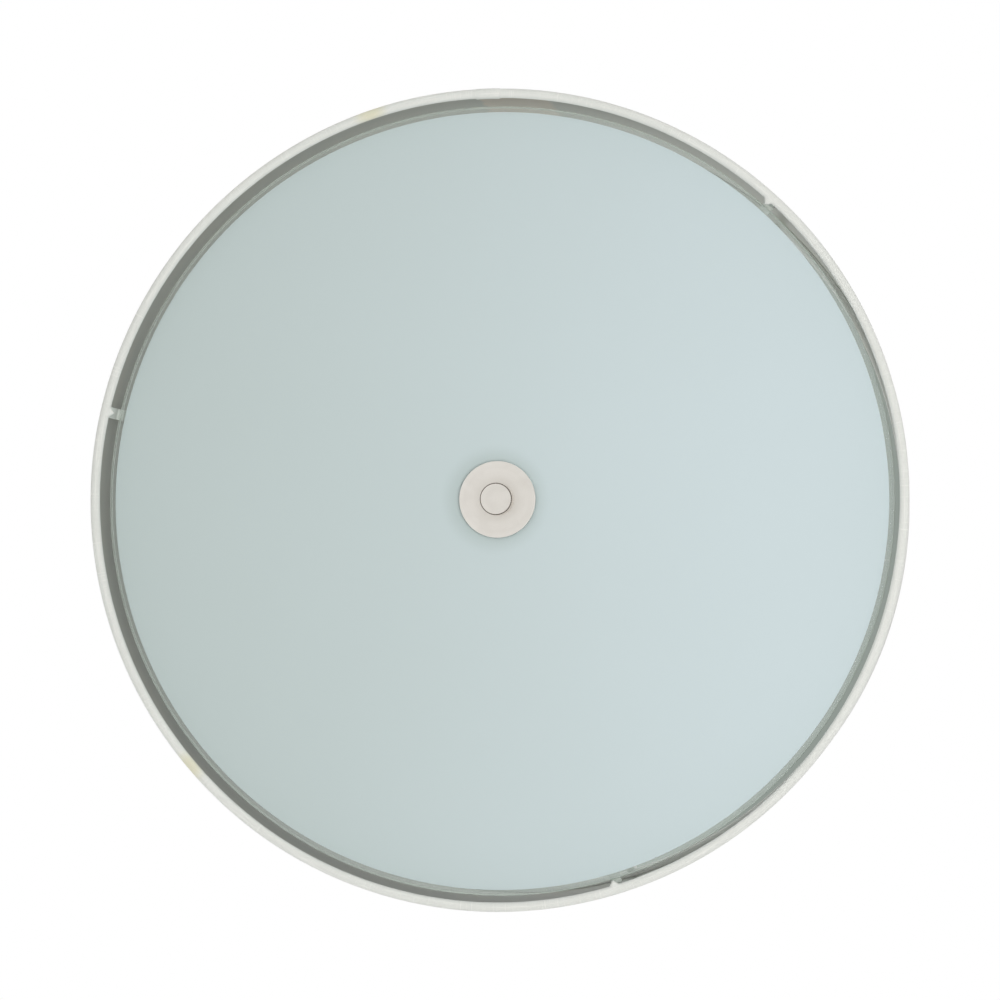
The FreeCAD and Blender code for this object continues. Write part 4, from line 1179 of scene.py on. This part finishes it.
def makeLamps(nickel, glass, brass, plastic, dome):
    tail, capMouth, capRadius = lampReach("lamp_cap_1")
    contactLow, contactHigh, contact = lampReach("lamp_contact_1")
    rim, tip, _ = lampReach("lamp_dome_1")
    radius = (tip - rim) / 1.2  # the dome is cut off a fifth of its radius behind its middle
    centre = tip - radius
    joint = centre - rim
    shoulder = contactLow + 7.8
    depth = bulb["capDepth"] / 2
    skin = pressedThread("lampCap", capRadius - 0.05 - depth, depth, shoulder, capMouth - 1.5)
    root = capRadius - bulb["capDepth"]
    outline = [(contact + 0.15, tail), (root * 0.72, tail + 1.2), (root, shoulder - 1),
               (root, shoulder + 0.5), (root - 0.5, shoulder + 0.5), (root - 0.5, shoulder - 0.8),
               (root * 0.7, tail + 1.9), (contact + 0.15, tail + 0.8)]
    cone = turnedPiece("capCone", outline, 64)
    outline = [(root - 0.3, capMouth - 1.9), (capRadius - 0.3, capMouth - 1.6), (capRadius, capMouth - 1.2),
               (capRadius, capMouth), (root - 0.3, capMouth)]
    cap = joined([skin, cone, turnedPiece("capCollar", outline, 64)], "lampCap")
    for face in cap.data.polygons:
        if face.center.xy.length < root * 0.76 * mm:
            face.material_index = 1  # the black glass that keeps the contact apart
    onEachLamp(cap, "lampCap", "lamp_*", "lamp_cap_metal", nickel, "lamp_cap_*", glass)

    outline = [(0, contactLow), (contact * 0.4, contactLow + 0.1), (contact * 0.75, contactLow + 0.5),
               (contact, contactLow + 1.4), (contact, contactHigh), (0, contactHigh)]
    button = turnedPiece("lampContact", outline, 48)
    onEachLamp(button, "lampContact", "lamp_carrier_*", "brass_contact", brass, "lamp_contact_*")

    # the housing flares from its foot to the dome as a horn does
    wall = bulb["wall"]
    waist = capMouth + bulb["waistRise"]
    rimRadius = math.sqrt(radius ** 2 - joint ** 2)
    start, end = Vector((bulb["waist"], waist)), Vector((rimRadius, rim))
    chord = end - start
    middle = (start + end) / 2 + Vector((chord.y, -chord.x)).normalized() * math.sqrt(
        bulb["flare"] ** 2 - (chord.length / 2) ** 2)
    turns = [math.degrees(math.atan2(*(point - middle).yx)) for point in (start, end)]
    outer = arc(middle, bulb["flare"], turns[0], turns[1], 12)
    foot = [(bulb["foot"] - 0.6, capMouth), (bulb["foot"], capMouth + 0.6),
            (bulb["waist"] - 0.2, waist - 0.8), (bulb["waist"] - 0.5, waist - 0.4)]
    outline = foot + outer[:-1] + [(rimRadius - 0.1, rim - 0.8), (rimRadius - 0.45, rim - 0.45)]
    outline += [(rimRadius - 0.45, rim), (rimRadius - wall, rim)]
    outline += [(across - wall, along) for across, along in reversed(outer[:-1])]
    outline += [(bulb["foot"] - wall, capMouth + wall), (root, capMouth + wall), (root, capMouth)]
    housing = turnedPiece("lampHousing", outline, 96)
    onEachLamp(housing, "lampHousing", "lamp_*", "lamp_plastic", plastic, "lamp_housing_*")

    inside = radius - wall
    outline = arc((0, centre), inside, 90, -math.degrees(math.asin(joint / inside)), 24)
    outline += arc((0, centre), radius, -math.degrees(math.asin(joint / radius)), 90, 28)
    outline[0] = (0, centre + inside)
    outline[-1] = (0, centre + radius)
    shell = turnedPiece("lampDome", outline, 96)
    onEachLamp(shell, "lampDome", "lamp_*", "lamp_diffuser", dome, "lamp_dome_*")


leadRoutes = {
    "near": [(20.0, 7.0)],
    "middle": [(7.5, -9.5), (18.0, -3.0)],
    "far": [(-9.0, 9.5), (3.0, 9.5), (18.0, 2.0)],
    "lane": 2.4,
    "riser": 21.5,
    "mouth": 30.0,
    "depth": 11.8,
    "bend": 5.0,
    # lampholder, route and lane for each colour; its connector points between two lampholders
    "white": {"side": 1, "at": 1.5, "height": -17.0,
              "ways": ((1, "middle", -1), (2, "near", 1), (3, "far", 0))},
    "black": {"side": -1, "at": 2.5, "height": -10.0,
              "ways": ((3, "middle", -1), (2, "near", 1), (1, "far", 0))},
}


def makeLeads(colour, material):
    run = leadRoutes[colour]
    side, height = run["side"], run["height"]
    away = towards(run["at"])
    start = lampReach("socket_body_1")[0] + 4
    leads = []
    for lamp, way, offset in run["ways"]:
        near = towards(lamp)
        across, riser, level = -side * holder["leadSpread"], leadRoutes["riser"], holder["height"]
        points = [near @ Vector((x, across, z)) for x, z in ((start, level), (riser, level), (riser, height))]
        points += [away @ Vector((x, side * y, height)) for x, y in leadRoutes[way]]
        lane = side * offset * leadRoutes["lane"]
        points += [away @ Vector((x, lane, height)) for x in
                   (leadRoutes["mouth"] - leadRoutes["lane"], leadRoutes["mouth"] + leadRoutes["depth"])]
        leads.append(bentWire("lead", points, leadRoutes["bend"], holder["leadRadius"]))
    dress(joined(leads, colour + "Leads"), colour + "_insulation", material, colour + "_leads")


connector = {"length": 24.0, "bore": 4.2, "depth": 12.0, "radius": 7.0, "tip": 4.6, "ribs": 14, "rib": 0.55}


def makeConnectors(yellow):
    # twist-on caps with a ribbed grip
    mouth = leadRoutes["mouth"]
    end = mouth + connector["length"]
    radius, tip, bore = connector["radius"], connector["tip"], connector["bore"]
    rows = [(radius + (tip - radius) * share, mouth + 8 + (end - mouth - 9) * share) for share in
            (0, 0.12, 0.3, 0.5, 0.7, 0.88, 1)]
    bottom = mouth + connector["depth"]
    outline = [(0, bottom), (bore, bottom), (bore, mouth + 1), (bore + 0.8, mouth)]
    outline += rounding(radius, mouth, 0.6, 270, 3)
    outline += [(radius, mouth + 3), (radius - 0.3, mouth + 3.4)]
    outline += rows + [(tip - 0.8, end - 0.3), (tip * 0.5, end), (0, end)]
    cap = turnedPiece("wireConnectors", outline, 112)
    for vertex in cap.data.vertices:
        outside = vertex.co.xy.length > (bore + 0.2) * mm or vertex.co.z > (bottom + 1) * mm
        if outside and (mouth + 3.2) * mm < vertex.co.z < (end - 0.5) * mm:
            dip = 0.5 - 0.5 * math.cos(connector["ribs"] * math.atan2(vertex.co.y, vertex.co.x))
            vertex.co.xy *= 1 - connector["rib"] * dip * mm / vertex.co.xy.length
    runs = (leadRoutes["white"], leadRoutes["black"])
    caps = spread(cap, [onLampAxis(run["at"], run["height"]) for run in runs])
    smoothByAngle(caps, 50)
    dress(caps, "yellow_plastic", yellow, "wire_connectors")


def makeRubber(rubber):
    low, high, outer = reach("glass_washer")
    bulge = (high - low) / 2
    outline = [(5.5, low)] + arc((outer - bulge, low + bulge), bulge, 270, 450, 8) + [(5.5, high)]
    dress(turnedPiece("glassWasher", outline, 128), "clear_rubber", rubber, "glass_washer", body="diffuser")


print("camera, floor and light")
makeCamera(cameraPlace)
makeStage(lighting)
print("shade cloth and liner")
makeCloth(clothShape)
carryOver("shade_liner", linerMaterial(linerLook))
print("glass and finial")
makeGlass(glassShape)
makeFinial(finialShape)
makeRubber(finishMaterial("clearRubber"))
print("ceiling side")
steel = steelMaterial("zincSteel", steelLook)
makeStrap(steel)
makeGroundScrew(finishMaterial("greenPaint"))
makeRod(steel)
for nodeName, pieceName in (("strap_nut", "strapNut"), ("pan_nut", "panNut"), ("spider_nut", "spiderNut")):
    makeNut(nodeName, pieceName, steel)
makeLockWasher(steel)
makePan(finishMaterial("whiteEnamel"))
makeWool(finishMaterial("glassWool"), woolShape)
makeBushings(finishMaterial("blackNylon"))
print("shade frame")
epoxy = finishMaterial("whiteEpoxy")
makeSpider(epoxy, spiderShape)
for nodeName in ("top_ring", "bottom_ring"):
    carryOver(nodeName, epoxy)
makeTabs(steelMaterial("brightZinc", tabLook), tabShape)
print("lampholders")
makeBrackets(steel, finishMaterial("rivetAluminium"))
brass = finishMaterial("springBrass")
makeHolders(finishMaterial("porcelain"), finishMaterial("shellAluminium"), brass, steel)
print("lamps")
makeLamps(finishMaterial("capNickel"), finishMaterial("capGlass"), brass, finishMaterial("lampPlastic"),
          finishMaterial("lampDome"))
print("leads")
makeLeads("white", finishMaterial("whiteVinyl"))
makeLeads("black", finishMaterial("blackVinyl"))
makeConnectors(finishMaterial("yellowNylon"))
